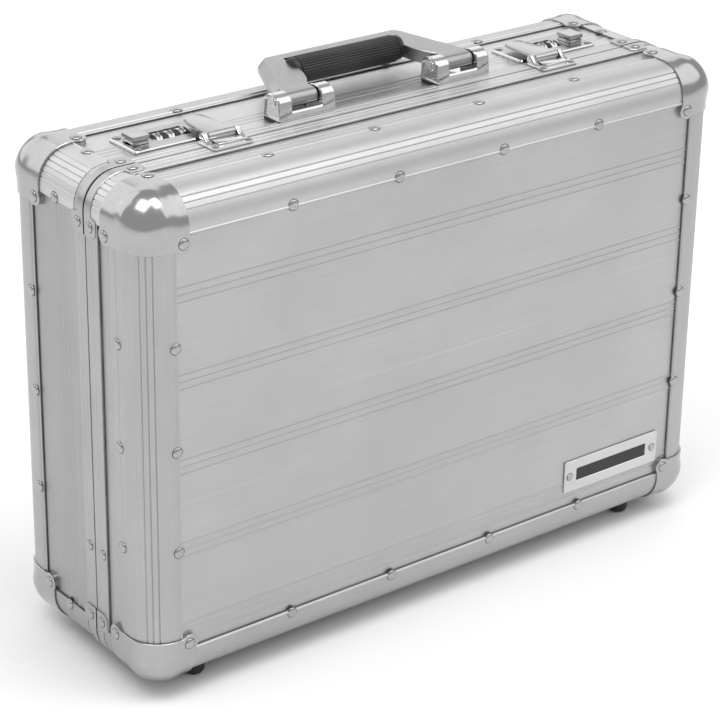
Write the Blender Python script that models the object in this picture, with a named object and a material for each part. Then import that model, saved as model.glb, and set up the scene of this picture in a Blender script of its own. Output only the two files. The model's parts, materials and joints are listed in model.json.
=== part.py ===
"""Aluminium attache case that stands on its long edge.

Two shells of thin board, held in rounded edge profiles and closed by ball corners, are hinged along
the bottom. The rear shell (base) carries the carry handle and two combination locks; the front shell
(lid) carries the hasps. +Z is up, +Y runs from the lid to the back panel, and X runs along the case.
"""

from math import cos, pi, radians, sin

import bmesh
import bpy
from mathutils import Matrix, Vector

# Driving dimensions, in metres.
CASE_W, CASE_H, CASE_D = 0.460, 0.325, 0.150
FOOT_H = 0.009
EDGE_R = 0.022
SHEET = 0.0015
BOARD = 0.003
GAP = 0.0003
ARC_STEPS = 5

# Distances from the front face.
LID_LEG = 0.031
LID_STRIP = 0.0455
SEAM = 0.0583
BASE_STRIP_END = 0.070
LOCK_FRONT, LOCK_BACK = 0.0733, 0.105
HANDLE_PIVOT_Y = 0.0755

# Distances from the outer faces.
FACE_LEG = 0.0255
BACK_LEG = 0.030
PROFILE_END = 0.026
CORNER_REACH = 0.036
CORNER_LUG = 0.040
CAP_SHEET = 0.0012

STAY_ARM = 0.082
STAY_BASE_ANGLE, STAY_LID_ANGLE = radians(4.5), radians(6.2)

HALF_W, HALF_H = CASE_W / 2, CASE_H / 2
FRONT, BACK = -CASE_D / 2, CASE_D / 2
BOTTOM, TOP = FOOT_H, FOOT_H + CASE_H
MID_Z = (BOTTOM + TOP) / 2
SEAM_Y = FRONT + SEAM
WALL = SHEET + GAP
WALL_IN = WALL + BOARD
WALL_TOP = TOP - WALL
HINGE_AXIS = Vector((0, SEAM_Y, BOTTOM - 0.003))

# Seam hardware: tongue and flange of the rim, lining, hinge and stays
WALL_NEAR = 0.003
FLANGE_REACH = 0.011
TONGUE_INSET, TONGUE_SHEET, TONGUE_REACH = 0.0082, 0.0012, 0.004
LINING_PAD = 0.0025
LID_LINING_BACK, BASE_LINING_BACK = 0.017, 0.014
LOCK_CLEAR, LOCK_CUT_NEAR, LOCK_CUT_DEEP = 0.001, 0.02, 0.014
PIN_R, PIN_BORE_R, KNUCKLE_R = 0.0011, 0.0014, 0.0025
LEAF_SHEET, LEAF_START = 0.0012, 0.0028
BASE_LEAF_REACH, LID_LEAF_REACH = 0.020, 0.018
HINGE_HALF, KNUCKLES, KNUCKLE_GAP, BRIDGE_REACH = 0.170, 5, 0.0004, 0.0040
ARM_HALF, ARM_SHEET, BOSS_R = 0.0045, 0.0013, 0.0032
BASE_ARM_DEPTH, LID_ARM_DEPTH, BOSS_DEPTH = 0.0092, 0.0110, 0.0086

# Locks: plate, case, dials, slider, keeper and hasp, measured from the middle and from the front
LOCK_IN, LOCK_OUT = 0.1175, 0.184
LOCK_CASE_IN, LOCK_CASE_OUT = 0.1375, 0.1815
LOCK_CASE_NEAR, LOCK_CASE_FAR = FRONT + 0.0806, FRONT + 0.1006
LOCK_TOP = WALL_TOP + GAP + 0.002
LOCK_FLOOR = TOP - 0.012
DIAL_X = (0.1413, 0.1500, 0.1587)
DIAL_Y, DIAL_Z = FRONT + 0.0906, TOP - 0.0040
DIAL_R, DIAL_W, DIAL_BORE_R = 0.0065, 0.0052, 0.0017
DIAL_SLACK, AXLE_R, AXLE_END = 0.0008, 0.0013, 0.0032
SLACK = 0.0004
SLIDER_X, SLIDER_Y = 0.1743, FRONT + 0.0890
SLIDER_HALF_X, SLIDER_HALF_Y, SLIDER_TOP = 0.0061, 0.007, TOP + 0.0060
STEM_HALF_X, STEM_HALF_Y, STEM_LOW = 0.0025, 0.003, TOP - 0.0055
SLIDER_TRAVEL = 0.0040
KEEPER_X, KEEPER_TOP = (0.1160, 0.1450), TOP + 0.0028
KEEPER_NEAR, KEEPER_FAR = FRONT + 0.0484, FRONT + 0.0602
KEEPER_LUGS, LUG_REACH, LUG_LOW = ((0.1165, 0.1195), (0.1405, 0.1435)), 0.007, TOP + 0.0012
HASP_PIN = (FRONT + 0.0640, TOP + 0.0042)
HASP_PIN_R, HASP_PIN_X = 0.0011, (0.1180, 0.1420)
HASP_MID, HASP_BARREL_X, HASP_BARREL_R, HASP_BORE_R = 0.1300, (0.1198, 0.1402), 0.0026, 0.0014
HASP_LOW, HASP_HIGH, HASP_FAR, HASP_ROUND = TOP + 0.0036, TOP + 0.0058, FRONT + 0.0975, 0.0050
HASP_NEAR_X, HASP_FAR_X = (0.1202, 0.1398), (0.1216, 0.1362)

# Handle: brackets, casting and grip
HANDLE_X = 0.0625
HANDLE_PIVOT = Vector((0, FRONT + HANDLE_PIVOT_Y, TOP + 0.0105))
HANDLE_TILT = radians(5)
BARREL_HALF, BARREL_R, BARREL_BORE_R = 0.0108, 0.0050, 0.0021
BRACKET_HALF_W, BRACKET_HALF_D, BRACKET_ROUND = 0.0217, 0.0095, 0.0058
BRACKET_SHEET, BRACKET_BAR, BRACKET_PIN_R = 0.0022, 0.0055, 0.0018
CASTING_LOW, CASTING_HIGH = 0.0042, 0.0048
CASTING_OUTER = ((0.0735, 0.0072), (0.0740, 0.0150), (0.0600, 0.0480), (0.0540, 0.0550))
CASTING_INNER = ((0.0442, 0.0456), (0.0446, 0.0200), (0.0515, 0.0072))
GRIP_HALF, GRIP_R = 0.0435, 0.0088
GRIP_BACK, GRIP_UP = 0.0362, 0.0012

FOOT_X, FOOT_IN, FOOT_R_LOW, FOOT_R_HIGH = 0.182, 0.0230, 0.0062, 0.0075
PLATE_X, PLATE_Z, PLATE_FACE = (0.1085, 0.1945), (0.0358, 0.0596), 0.0005

ALUMINIUM, CHROME, SATIN, RUBBER = "brushed_aluminium", "chrome", "satin_metal", "black_rubber"
LINING, STEEL, PANEL = "lining", "stay_steel", "panel_aluminium"
FINISHES = {
    ALUMINIUM: ((0.70, 0.71, 0.72, 1), 0.32, 1.0),
    PANEL: ((0.66, 0.67, 0.68, 1), 0.42, 1.0),
    CHROME: ((0.80, 0.80, 0.81, 1), 0.10, 1.0),
    SATIN: ((0.60, 0.60, 0.61, 1), 0.30, 1.0),
    STEEL: ((0.55, 0.55, 0.56, 1), 0.35, 1.0),
    RUBBER: ((0.02, 0.02, 0.02, 1), 0.65, 0.0),
    LINING: ((0.045, 0.045, 0.05, 1), 0.90, 0.0),
}


def material(name):
    found = bpy.data.materials.get(name)
    if found:
        return found
    colour, roughness, metallic = FINISHES[name]
    made = bpy.data.materials.new(name)
    made.use_nodes = True
    shader = made.node_tree.nodes["Principled BSDF"]
    shader.inputs["Base Color"].default_value = colour
    shader.inputs["Roughness"].default_value = roughness
    shader.inputs["Metallic"].default_value = metallic
    return made


def object_of(name, bm, finish, origin=(0, 0, 0)):
    """An object of this bmesh, given in world space, with its origin at the given point."""
    bmesh.ops.recalc_face_normals(bm, faces=bm.faces)
    bm.transform(Matrix.Translation(-Vector(origin)))
    mesh = bpy.data.meshes.new(name)
    bm.to_mesh(mesh)
    bm.free()
    mesh.shade_smooth()
    mesh.set_sharp_from_angle(angle=radians(32))
    mesh.materials.append(material(finish))
    made = bpy.data.objects.new(name, mesh)
    made.location = origin
    bpy.context.scene.collection.objects.link(made)
    return made


def helper(bm):
    """A hidden shape that a Boolean reads."""
    made = object_of("helper", bm, STEEL)
    made.hide_render = True
    made.display_type = "WIRE"
    return made


def boolean(target, bm, operation):
    modifier = target.modifiers.new(operation.lower(), "BOOLEAN")
    modifier.operation = operation
    modifier.solver = "EXACT"
    modifier.object = helper(bm)


def cut(target, bm):
    boolean(target, bm, "DIFFERENCE")


def join(target, bm):
    boolean(target, bm, "UNION")


def box(low, high):
    low, high = Vector(low), Vector(high)
    bm = bmesh.new()
    placed = Matrix.Translation((low + high) / 2) @ Matrix.Diagonal(high - low).to_4x4()
    bmesh.ops.create_cube(bm, size=1, matrix=placed)
    return bm


def prism(outline, place, start, end):
    """A closed outline of (a, b) points swept from start to end; place(a, b, t) gives the world point."""
    bm = bmesh.new()
    rings = [[bm.verts.new(place(a, b, t)) for a, b in outline] for t in (start, end)]
    for ring in rings:
        bm.faces.new(ring)
    for i in range(len(outline)):
        j = (i + 1) % len(outline)
        bm.faces.new((rings[0][i], rings[0][j], rings[1][j], rings[1][i]))
    return bm


def circle(a, b, radius, steps, turn=0.0):
    angles = [turn + 2 * pi * i / steps for i in range(steps)]
    return [(a + radius * cos(t), b + radius * sin(t)) for t in angles]


def arc(a, b, radius, first, last, steps=ARC_STEPS):
    angles = [first + (last - first) * i / steps for i in range(steps + 1)]
    return [(a + radius * cos(t), b + radius * sin(t)) for t in angles]


def along_x(a, b, t):
    return (t, a, b)


def along_z(a, b, t):
    return (a, b, t)


def rod_x(y, z, radius, start, end, steps=16):
    return prism(circle(y, z, radius, steps, pi / steps), along_x, start, end)


def rounded_loop(bm, inset, y, steps=4):
    """A ring of vertices round the case's rounded front outline, at this distance inside it."""
    radius = max(EDGE_R - inset, 0.0005)
    reach_x, reach_z = HALF_W - inset - radius, HALF_H - inset - radius
    ring = []
    for k, (sx, sz) in enumerate(((1, 1), (-1, 1), (-1, -1), (1, -1))):
        start = k * pi / 2
        for a, b in arc(sx * reach_x, MID_Z + sz * reach_z, radius, start, start + pi / 2, steps):
            ring.append(bm.verts.new((a, y, b)))
    return ring


def loft(loops, closed):
    """Skin through rounded loops given as (inset, y): a closed hoop, or a body capped at both ends."""
    bm = bmesh.new()
    rings = [rounded_loop(bm, inset, y) for inset, y in loops]
    pairs = list(zip(rings, rings[1:]))
    if closed:
        pairs.append((rings[-1], rings[0]))
    else:
        bm.faces.new(rings[0])
        bm.faces.new(rings[-1])
    for one, two in pairs:
        for i in range(len(one)):
            j = (i + 1) % len(one)
            bm.faces.new((one[i], one[j], two[j], two[i]))
    return bm


# ---------------------------------------------------------------- shells


def edge_outline(leg_a, leg_b):
    """An edge profile's section: two legs, leg_a and leg_b long, joined by the rounded edge."""
    inner = EDGE_R - SHEET
    outer_arc = arc(EDGE_R, EDGE_R, EDGE_R, -pi / 2, -pi)
    inner_arc = arc(EDGE_R, EDGE_R, inner, -pi, -pi / 2)
    return [(leg_a, 0)] + outer_arc + [(0, leg_b), (SHEET, leg_b)] + inner_arc + [(leg_a, SHEET)]


def face_edges(prefix, face_y, into, leg):
    """The four profiles round the front or the back face, a measured from the sides, b from the face."""
    outline = edge_outline(FACE_LEG, leg)
    reach_x, low, high = HALF_W - PROFILE_END, BOTTOM + PROFILE_END, TOP - PROFILE_END
    places = {
        "top": (lambda a, b, t: (t, face_y + into * b, TOP - a), -reach_x, reach_x),
        "bottom": (lambda a, b, t: (t, face_y + into * b, BOTTOM + a), -reach_x, reach_x),
        "left": (lambda a, b, t: (-HALF_W + a, face_y + into * b, t), low, high),
        "right": (lambda a, b, t: (HALF_W - a, face_y + into * b, t), low, high),
    }
    for side, (place, start, end) in places.items():
        object_of(f"{prefix}_{side}", prism(outline, place, start, end), ALUMINIUM)


def base_corner_edges():
    """Rounded profiles that join the base's walls along Y, between the rear corners and the rim."""
    outline = edge_outline(FACE_LEG, FACE_LEG)
    start, end = FRONT + BASE_STRIP_END + GAP, BACK - PROFILE_END
    for vertical, z, up in (("top", TOP, -1), ("bottom", BOTTOM, 1)):
        for side, sx in (("left", -1), ("right", 1)):

            def place(a, b, t, sx=sx, z=z, up=up):
                return (sx * (HALF_W - a), t, z + up * b)

            object_of(f"base_corner_edge_{vertical}_{side}", prism(outline, place, start, end), ALUMINIUM)


def rounded_corner_block(corner, into, reach, radius):
    """A block from a corner point inwards, with the three edges that meet at that point rounded."""
    far = Vector([c + i * r for c, i, r in zip(corner, into, reach)])
    low = [min(a, b) for a, b in zip(corner, far)]
    high = [max(a, b) for a, b in zip(corner, far)]
    bm = box(low, high)
    tip = min(bm.verts, key=lambda v: (v.co - Vector(corner)).length)
    bmesh.ops.bevel(
        bm,
        geom=list(tip.link_edges),
        offset=radius,
        segments=ARC_STEPS,
        profile=0.5,
        affect="EDGES",
        clamp_overlap=False,
    )
    return bm


def ball_corner(name, sx, y_face, into_y, sz, finish):
    """A pressed cap over the corner where three profiles meet."""
    into = (-sx, into_y, -sz)
    z_face = TOP if sz > 0 else BOTTOM
    face = (sx * HALF_W, y_face, z_face)
    outside, inside = GAP + CAP_SHEET, GAP
    outer = [f - i * outside for f, i in zip(face, into)]
    inner = [f - i * inside for f, i in zip(face, into)]
    reach = (CORNER_REACH, CORNER_LUG, CORNER_REACH)
    shell = object_of(name, rounded_corner_block(outer, into, reach, EDGE_R + outside), finish)
    cut(shell, rounded_corner_block(inner, into, [r + 0.02 for r in reach], EDGE_R + inside))


def ball_corners():
    for end, y, into_y in (("front", FRONT, 1), ("rear", BACK, -1)):
        for vertical, sz in (("top", 1), ("bottom", -1)):
            for side, sx in (("left", -1), ("right", 1)):
                ball_corner(f"{end}_corner_{vertical}_{side}", sx, y, into_y, sz, CHROME)


def face_panels():
    """Flat boards behind the face legs of the edge profiles."""
    margin = EDGE_R + GAP
    for name, outer, inner in (
        ("front_panel", FRONT + WALL, FRONT + WALL_IN),
        ("back_panel", BACK - WALL, BACK - WALL_IN),
    ):
        low = (-HALF_W + margin, min(outer, inner), BOTTOM + margin)
        high = (HALF_W - margin, max(outer, inner), TOP - margin)
        object_of(name, box(low, high), PANEL)


def base_walls():
    """Flat boards between the base rim and the rear profiles; the top one is pierced for the locks."""
    margin = EDGE_R + GAP
    near, far = SEAM_Y + WALL_NEAR, BACK - margin
    x, low, high = HALF_W - margin, BOTTOM + margin, TOP - margin
    object_of("base_wall_bottom", box((-x, near, BOTTOM + WALL), (x, far, BOTTOM + WALL_IN)), PANEL)
    top = object_of("base_wall_top", box((-x, near, TOP - WALL_IN), (x, far, WALL_TOP)), PANEL)
    for sx in (-1, 1):
        low_x, high_x = sorted((sx * (LOCK_CASE_IN - 0.0005), sx * (LOCK_CASE_OUT + 0.0005)))
        hole_low = (low_x, LOCK_CASE_NEAR - 0.0005, TOP - 0.010)
        cut(top, box(hole_low, (high_x, LOCK_CASE_FAR + 0.0005, TOP + 0.010)))
    for side, sx in (("left", -1), ("right", 1)):
        xs = sorted((sx * (HALF_W - WALL), sx * (HALF_W - WALL_IN)))
        object_of(f"base_wall_{side}", box((xs[0], near, low), (xs[1], far, high)), PANEL)


def base_rim():
    """Extruded hoop that closes the base's mouth, with a tongue that enters the lid."""
    near = SEAM_Y + GAP / 2
    web = near + SHEET
    flange_in, tongue = WALL_IN + GAP, TONGUE_INSET
    loops = [
        (0, near),
        (0, FRONT + BASE_STRIP_END),
        (SHEET, FRONT + BASE_STRIP_END),
        (SHEET, web),
        (flange_in, web),
        (flange_in, near + FLANGE_REACH),
        (flange_in + SHEET, near + FLANGE_REACH),
        (tongue, web),
        (tongue, near - TONGUE_REACH),
        (tongue - TONGUE_SHEET, near - TONGUE_REACH),
        (tongue - TONGUE_SHEET, near),
    ]
    object_of("base_rim", loft(loops, True), ALUMINIUM)


def lid_frame():
    """The lid's side wall and closing strip, one extruded hoop."""
    seam = SEAM_Y - GAP / 2
    strip = FRONT + LID_STRIP
    wall_end = FRONT + EDGE_R + GAP
    loops = [
        (0, seam),
        (0, strip),
        (WALL, strip),
        (WALL, wall_end),
        (WALL_IN, wall_end),
        (WALL_IN, seam),
    ]
    object_of("lid_frame", loft(loops, True), ALUMINIUM)


def lining(name, floor_y, into, mouth_y):
    """A padded tray whose floor lies on the panel; into is the direction towards the mouth."""
    outside = WALL_IN + GAP
    pad = LINING_PAD
    outer = [(EDGE_R - 0.0005, floor_y)]
    inner = [(EDGE_R - 0.0005, floor_y + into * pad)]
    centre_y = floor_y + into * (EDGE_R - outside)
    for thick, loops in ((0, outer), (pad, inner)):
        radius = EDGE_R - outside - thick
        for i in range(1, 4):
            t = pi / 2 * i / 3
            loops.append((EDGE_R - radius * sin(t), centre_y - into * radius * cos(t)))
    loops = outer + [(outside, mouth_y), (outside + pad, mouth_y)] + inner[::-1]
    return object_of(name, loft(loops, False), LINING)


def linings():
    lining("lid_lining", FRONT + WALL_IN + GAP, 1, SEAM_Y - LID_LINING_BACK)
    base = lining("base_lining", BACK - WALL_IN - GAP, -1, SEAM_Y + BASE_LINING_BACK)
    for sx in (-1, 1):
        xs = sorted((sx * (LOCK_CASE_IN - LOCK_CLEAR), sx * (LOCK_CASE_OUT + LOCK_CLEAR)))
        low = (xs[0], LOCK_CASE_NEAR - LOCK_CUT_NEAR, TOP - LOCK_CUT_DEEP)
        cut(base, box(low, (xs[1], LOCK_CASE_FAR + LOCK_CLEAR, TOP)))


# ---------------------------------------------------------------- hinge and stays


def hinge():
    """Butt hinge along the bottom of the seam; its knuckles alternate on one pin."""
    half = HINGE_HALF
    joints_x = [-half + 2 * half * i / KNUCKLES for i in range(KNUCKLES + 1)]
    y, z = HINGE_AXIS.y, HINGE_AXIS.z
    leaf_top = BOTTOM - GAP
    for name, side, reach, first in (
        ("hinge_leaf_base", 1, BASE_LEAF_REACH, 0),
        ("hinge_leaf_lid", -1, LID_LEAF_REACH, 1),
    ):
        ys = sorted((y + side * LEAF_START, y + side * reach))
        made = object_of(name, box((-half, ys[0], leaf_top - LEAF_SHEET), (half, ys[1], leaf_top)), STEEL)
        for i in range(first, KNUCKLES, 2):
            start, end = joints_x[i] + KNUCKLE_GAP, joints_x[i + 1] - KNUCKLE_GAP
            join(made, rod_x(y, z, KNUCKLE_R, start, end, 14))
            bridge = sorted((y + side * KNUCKLE_GAP, y + side * BRIDGE_REACH))
            join(made, box((start, bridge[0], leaf_top - LEAF_SHEET), (end, bridge[1], leaf_top - 0.0002)))
        cut(made, rod_x(y, z, PIN_BORE_R, -half - 0.002, half + 0.002, 12))
    object_of("hinge_pin", rod_x(y, z, PIN_R, -half - 0.001, half + 0.001, 12), STEEL)


def stay_points():
    """The base pivot, the lid pivot and the elbow of the stays, as (y, z): a rhombus with the hinge."""
    to_base = Vector((sin(STAY_BASE_ANGLE), cos(STAY_BASE_ANGLE))) * STAY_ARM
    to_lid = Vector((-sin(STAY_LID_ANGLE), cos(STAY_LID_ANGLE))) * STAY_ARM
    axis = HINGE_AXIS.yz
    return axis + to_base, axis + to_lid, axis + to_base + to_lid


def stay_arm(name, sx, pivot, elbow, depth):
    """A flat arm with round ends; its pivot boss reaches out towards the side wall."""
    along = (elbow - pivot).normalized()
    turn = along.angle_signed(Vector((1, 0)))
    outline = arc(elbow.x, elbow.y, ARM_HALF, turn - pi / 2, turn + pi / 2)
    outline += arc(pivot.x, pivot.y, ARM_HALF, turn + pi / 2, turn + 3 * pi / 2)
    xs = sorted((sx * (HALF_W - depth), sx * (HALF_W - depth - ARM_SHEET)))
    origin = (sx * (HALF_W - depth), pivot.x, pivot.y)
    arm = object_of(name, prism(outline, along_x, *xs), STEEL, origin)
    xs = sorted((sx * (HALF_W - BOSS_DEPTH), sx * (HALF_W - depth - ARM_SHEET / 2)))
    join(arm, rod_x(pivot.x, pivot.y, BOSS_R, *xs))


def stays():
    base_pivot, lid_pivot, elbow = stay_points()
    for side, sx in (("left", -1), ("right", 1)):
        stay_arm(f"stay_arm_base_{side}", sx, base_pivot, elbow, BASE_ARM_DEPTH)
        stay_arm(f"stay_arm_lid_{side}", sx, lid_pivot, elbow, LID_ARM_DEPTH)


# ---------------------------------------------------------------- locks


def span(sx, low, high):
    """The stretch from low to high along X, on the side given by the sign sx."""
    return sorted((sx * low, sx * high))


def lock_body(side, sx):
    """Lock plate on the wall with its case below it, slots for dials and slider, and the dials' axle."""
    xs = span(sx, LOCK_IN, LOCK_OUT)
    low = (xs[0], FRONT + LOCK_FRONT, WALL_TOP + GAP)
    body = object_of(f"lock_body_{side}", box(low, (xs[1], FRONT + LOCK_BACK, LOCK_TOP)), SATIN)
    xs = span(sx, LOCK_CASE_IN, LOCK_CASE_OUT)
    join(body, box((xs[0], LOCK_CASE_NEAR, LOCK_FLOOR), (xs[1], LOCK_CASE_FAR, LOCK_TOP - 0.0004)))
    for x in DIAL_X:
        xs = span(sx, x - DIAL_W / 2 - SLACK, x + DIAL_W / 2 + SLACK)
        low = (xs[0], DIAL_Y - DIAL_R - DIAL_SLACK, LOCK_FLOOR + DIAL_SLACK)
        cut(body, box(low, (xs[1], DIAL_Y + DIAL_R + DIAL_SLACK, TOP + 0.01)))
    xs = span(sx, SLIDER_X - STEM_HALF_X - SLACK, SLIDER_X + STEM_HALF_X + SLIDER_TRAVEL + SLACK)
    low = (xs[0], SLIDER_Y - STEM_HALF_Y - SLACK, STEM_LOW - 0.001)
    cut(body, box(low, (xs[1], SLIDER_Y + STEM_HALF_Y + SLACK, TOP + 0.01)))
    join(body, rod_x(DIAL_Y, DIAL_Z, AXLE_R, *span(sx, DIAL_X[0] - AXLE_END, DIAL_X[2] + AXLE_END), 8))


def dials(side, sx):
    for number, x in enumerate(DIAL_X, 1):
        xs = span(sx, x - DIAL_W / 2, x + DIAL_W / 2)
        origin = (sx * x, DIAL_Y, DIAL_Z)
        made = object_of(f"dial_{side}_{number}", rod_x(DIAL_Y, DIAL_Z, DIAL_R, *xs, 20), CHROME, origin)
        cut(made, rod_x(DIAL_Y, DIAL_Z, DIAL_BORE_R, xs[0] - 0.01, xs[1] + 0.01, 8))


def slider(side, sx):
    """Thumb button on the lock plate; its stem runs in the plate's slot."""
    xs = span(sx, SLIDER_X - SLIDER_HALF_X, SLIDER_X + SLIDER_HALF_X)
    origin = (sx * SLIDER_X, SLIDER_Y, LOCK_TOP)
    low = (xs[0], SLIDER_Y - SLIDER_HALF_Y, LOCK_TOP + GAP)
    button = box(low, (xs[1], SLIDER_Y + SLIDER_HALF_Y, SLIDER_TOP))
    made = object_of(f"slider_{side}", button, SATIN, origin)
    xs = span(sx, SLIDER_X - STEM_HALF_X, SLIDER_X + STEM_HALF_X)
    low = (xs[0], SLIDER_Y - STEM_HALF_Y, STEM_LOW)
    join(made, box(low, (xs[1], SLIDER_Y + STEM_HALF_Y, SLIDER_TOP - 0.001)))


def keeper(side, sx):
    """Plate on the lid's closing strip, with two lugs and the pin that the hasp turns on."""
    y, z = HASP_PIN
    xs = span(sx, *KEEPER_X)
    plate = box((xs[0], KEEPER_NEAR, TOP + GAP), (xs[1], KEEPER_FAR, KEEPER_TOP))
    body = object_of(f"keeper_{side}", plate, CHROME)
    for lug in KEEPER_LUGS:
        outline = [(y - LUG_REACH, LUG_LOW), (y, z - HASP_BARREL_R)]
        outline += arc(y, z, HASP_BARREL_R, -pi / 2, pi / 2) + [(y - LUG_REACH, TOP + 0.0026)]
        join(body, prism(outline, along_x, *span(sx, *lug)))
    join(body, rod_x(y, z, HASP_PIN_R, *span(sx, *HASP_PIN_X), 8))


def hasp(side, sx):
    """Flap on the keeper's pin, lying back over the inner end of the lock plate."""
    y, z = HASP_PIN
    near, far, turn = y + 0.0010, HASP_FAR, HASP_ROUND
    inner_near, outer_near = HASP_NEAR_X
    inner_far, outer_far = HASP_FAR_X
    outline = [(outer_near, near), (outer_far + 0.0004, far - turn)]
    outline += [(outer_far - turn * 0.35, far - turn * 0.3), (outer_far - turn, far)]
    outline += [(inner_far + turn, far), (inner_far + turn * 0.35, far - turn * 0.3)]
    outline += [(inner_far, far - turn), (inner_near, near)]
    flap = prism([(sx * a, b) for a, b in outline], along_z, HASP_LOW, HASP_HIGH)
    made = object_of(f"hasp_{side}", flap, SATIN, (sx * HASP_MID, y, z))
    join(made, rod_x(y, z, HASP_BARREL_R, *span(sx, *HASP_BARREL_X), 16))
    cut(made, rod_x(y, z, HASP_BORE_R, *span(sx, 0.1100, 0.1500), 8))


def locks():
    for side, sx in (("left", -1), ("right", 1)):
        lock_body(side, sx)
        dials(side, sx)
        slider(side, sx)
        keeper(side, sx)
        hasp(side, sx)


# ---------------------------------------------------------------- handle


def handle_base(side, sx):
    """Bracket with two rounded cheeks, an open front window and the pivot pin."""
    y, z = HANDLE_PIVOT.y, HANDLE_PIVOT.z
    low, half_d, half_w = TOP + GAP, BRACKET_HALF_D, BRACKET_HALF_W
    centre = sx * HANDLE_X
    bracket = box((centre - half_w, y - half_d, low), (centre + half_w, y + half_d, low + BRACKET_SHEET))
    body = object_of(f"handle_base_{side}", bracket, CHROME)
    pad_low = (centre - half_w + 0.001, FRONT + BASE_STRIP_END + 2 * GAP, WALL_TOP + GAP)
    join(body, box(pad_low, (centre + half_w - 0.001, y + half_d - 0.0005, low + 0.001)))
    outline = [(y + half_d, low), (y + half_d - 0.001, low + 0.004)]
    outline += arc(y, z, BRACKET_ROUND, 0.15, pi - 0.15)
    outline += [(y - half_d + 0.001, low + 0.004), (y - half_d, low)]
    for end in (-1, 1):
        xs = sorted((centre + end * (BARREL_HALF + 2 * GAP), centre + end * (half_w - 0.0007)))
        join(body, prism(outline, along_x, *xs))
    low_wall = (centre - half_w + 0.002, y - half_d + 0.0002, low)
    join(body, box(low_wall, (centre + half_w - 0.002, y - half_d + BRACKET_SHEET, low + BRACKET_BAR)))
    join(body, rod_x(y, z, BRACKET_PIN_R, centre - half_w + 0.004, centre + half_w - 0.004, 10))


def tilted(bm):
    """Handle shapes are drawn level with the pivot, then tipped up to where the handle rests."""
    about = Matrix.Translation(HANDLE_PIVOT)
    bm.transform(about @ Matrix.Rotation(HANDLE_TILT, 4, "X") @ about.inverted())
    return bm


def handle_frame():
    """U-shaped casting: two arms that taper to the crossbar, each with a barrel on its base's pin."""
    y, z = HANDLE_PIVOT.y, HANDLE_PIVOT.z
    outline = list(CASTING_OUTER) + [(-a, b) for a, b in reversed(CASTING_OUTER)]
    outline += [(-a, b) for a, b in reversed(CASTING_INNER)] + list(CASTING_INNER)
    body = prism([(a, y + b) for a, b in outline], along_z, z - CASTING_LOW, z + CASTING_HIGH)
    frame = object_of("handle_frame", tilted(body), SATIN, HANDLE_PIVOT)
    for sx in (-1, 1):
        start, end = sx * HANDLE_X - BARREL_HALF, sx * HANDLE_X + BARREL_HALF
        join(frame, tilted(box((start, y, z - 0.0030), (end, y + 0.0100, z + 0.0040))))
        join(frame, tilted(rod_x(y, z, BARREL_R, start, end)))
    cut(frame, tilted(rod_x(y, z, BARREL_BORE_R, -0.1, 0.1, 10)))


def handle_grip():
    y, z = HANDLE_PIVOT.y + GRIP_BACK, HANDLE_PIVOT.z + GRIP_UP
    object_of("handle_grip", tilted(rod_x(y, z, GRIP_R, -GRIP_HALF, GRIP_HALF, 24)), RUBBER, HANDLE_PIVOT)


def handle():
    for side, sx in (("left", -1), ("right", 1)):
        handle_base(side, sx)
    handle_frame()
    handle_grip()


# ---------------------------------------------------------------- small parts


def feet():
    height = FOOT_H - GAP
    for end, y in (("front", FRONT + FOOT_IN), ("rear", BACK - FOOT_IN)):
        for side, sx in (("left", -1), ("right", 1)):
            bm = bmesh.new()
            bmesh.ops.create_cone(
                bm,
                cap_ends=True,
                segments=16,
                radius1=FOOT_R_LOW,
                radius2=FOOT_R_HIGH,
                depth=height,
                matrix=Matrix.Translation((sx * FOOT_X, y, height / 2)),
            )
            object_of(f"foot_{end}_{side}", bm, RUBBER)


def name_plate():
    low = (PLATE_X[0], FRONT + PLATE_FACE, BOTTOM + PLATE_Z[0])
    object_of("name_plate", box(low, (PLATE_X[1], FRONT + WALL - GAP, BOTTOM + PLATE_Z[1])), SATIN)


def build():
    for old in list(bpy.data.objects):
        bpy.data.objects.remove(old)
    face_panels()
    face_edges("front_edge", FRONT, 1, LID_LEG)
    face_edges("rear_edge", BACK, -1, BACK_LEG)
    base_walls()
    base_corner_edges()
    ball_corners()
    base_rim()
    lid_frame()
    linings()
    hinge()
    stays()
    locks()
    handle()
    feet()
    name_plate()


build()
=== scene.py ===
import json
from math import atan2, cos, pi, radians, sin, sqrt, tan

import bmesh
import bpy
from mathutils import Matrix, Vector


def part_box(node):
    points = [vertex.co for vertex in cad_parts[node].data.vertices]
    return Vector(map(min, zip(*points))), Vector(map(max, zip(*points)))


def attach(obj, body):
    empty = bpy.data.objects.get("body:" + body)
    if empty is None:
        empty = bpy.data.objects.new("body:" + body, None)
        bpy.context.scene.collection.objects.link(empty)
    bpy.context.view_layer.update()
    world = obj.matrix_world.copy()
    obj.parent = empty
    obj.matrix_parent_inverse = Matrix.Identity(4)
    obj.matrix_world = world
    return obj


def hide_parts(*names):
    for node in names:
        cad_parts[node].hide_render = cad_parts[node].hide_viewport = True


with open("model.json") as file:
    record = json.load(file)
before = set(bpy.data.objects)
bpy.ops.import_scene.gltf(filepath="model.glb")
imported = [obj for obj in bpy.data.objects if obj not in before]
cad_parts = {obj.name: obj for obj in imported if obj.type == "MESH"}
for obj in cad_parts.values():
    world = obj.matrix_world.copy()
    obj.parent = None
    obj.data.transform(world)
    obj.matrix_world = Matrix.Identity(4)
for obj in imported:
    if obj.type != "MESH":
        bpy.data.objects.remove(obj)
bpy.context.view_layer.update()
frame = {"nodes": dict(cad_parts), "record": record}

RECORD = frame["record"]
BODY_OF = {n: b for b, ns in RECORD["behaviour"]["bodies"].items() for n in ns}
JOINT = {j["name"]: j for j in RECORD["behaviour"]["joints"]}

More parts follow.
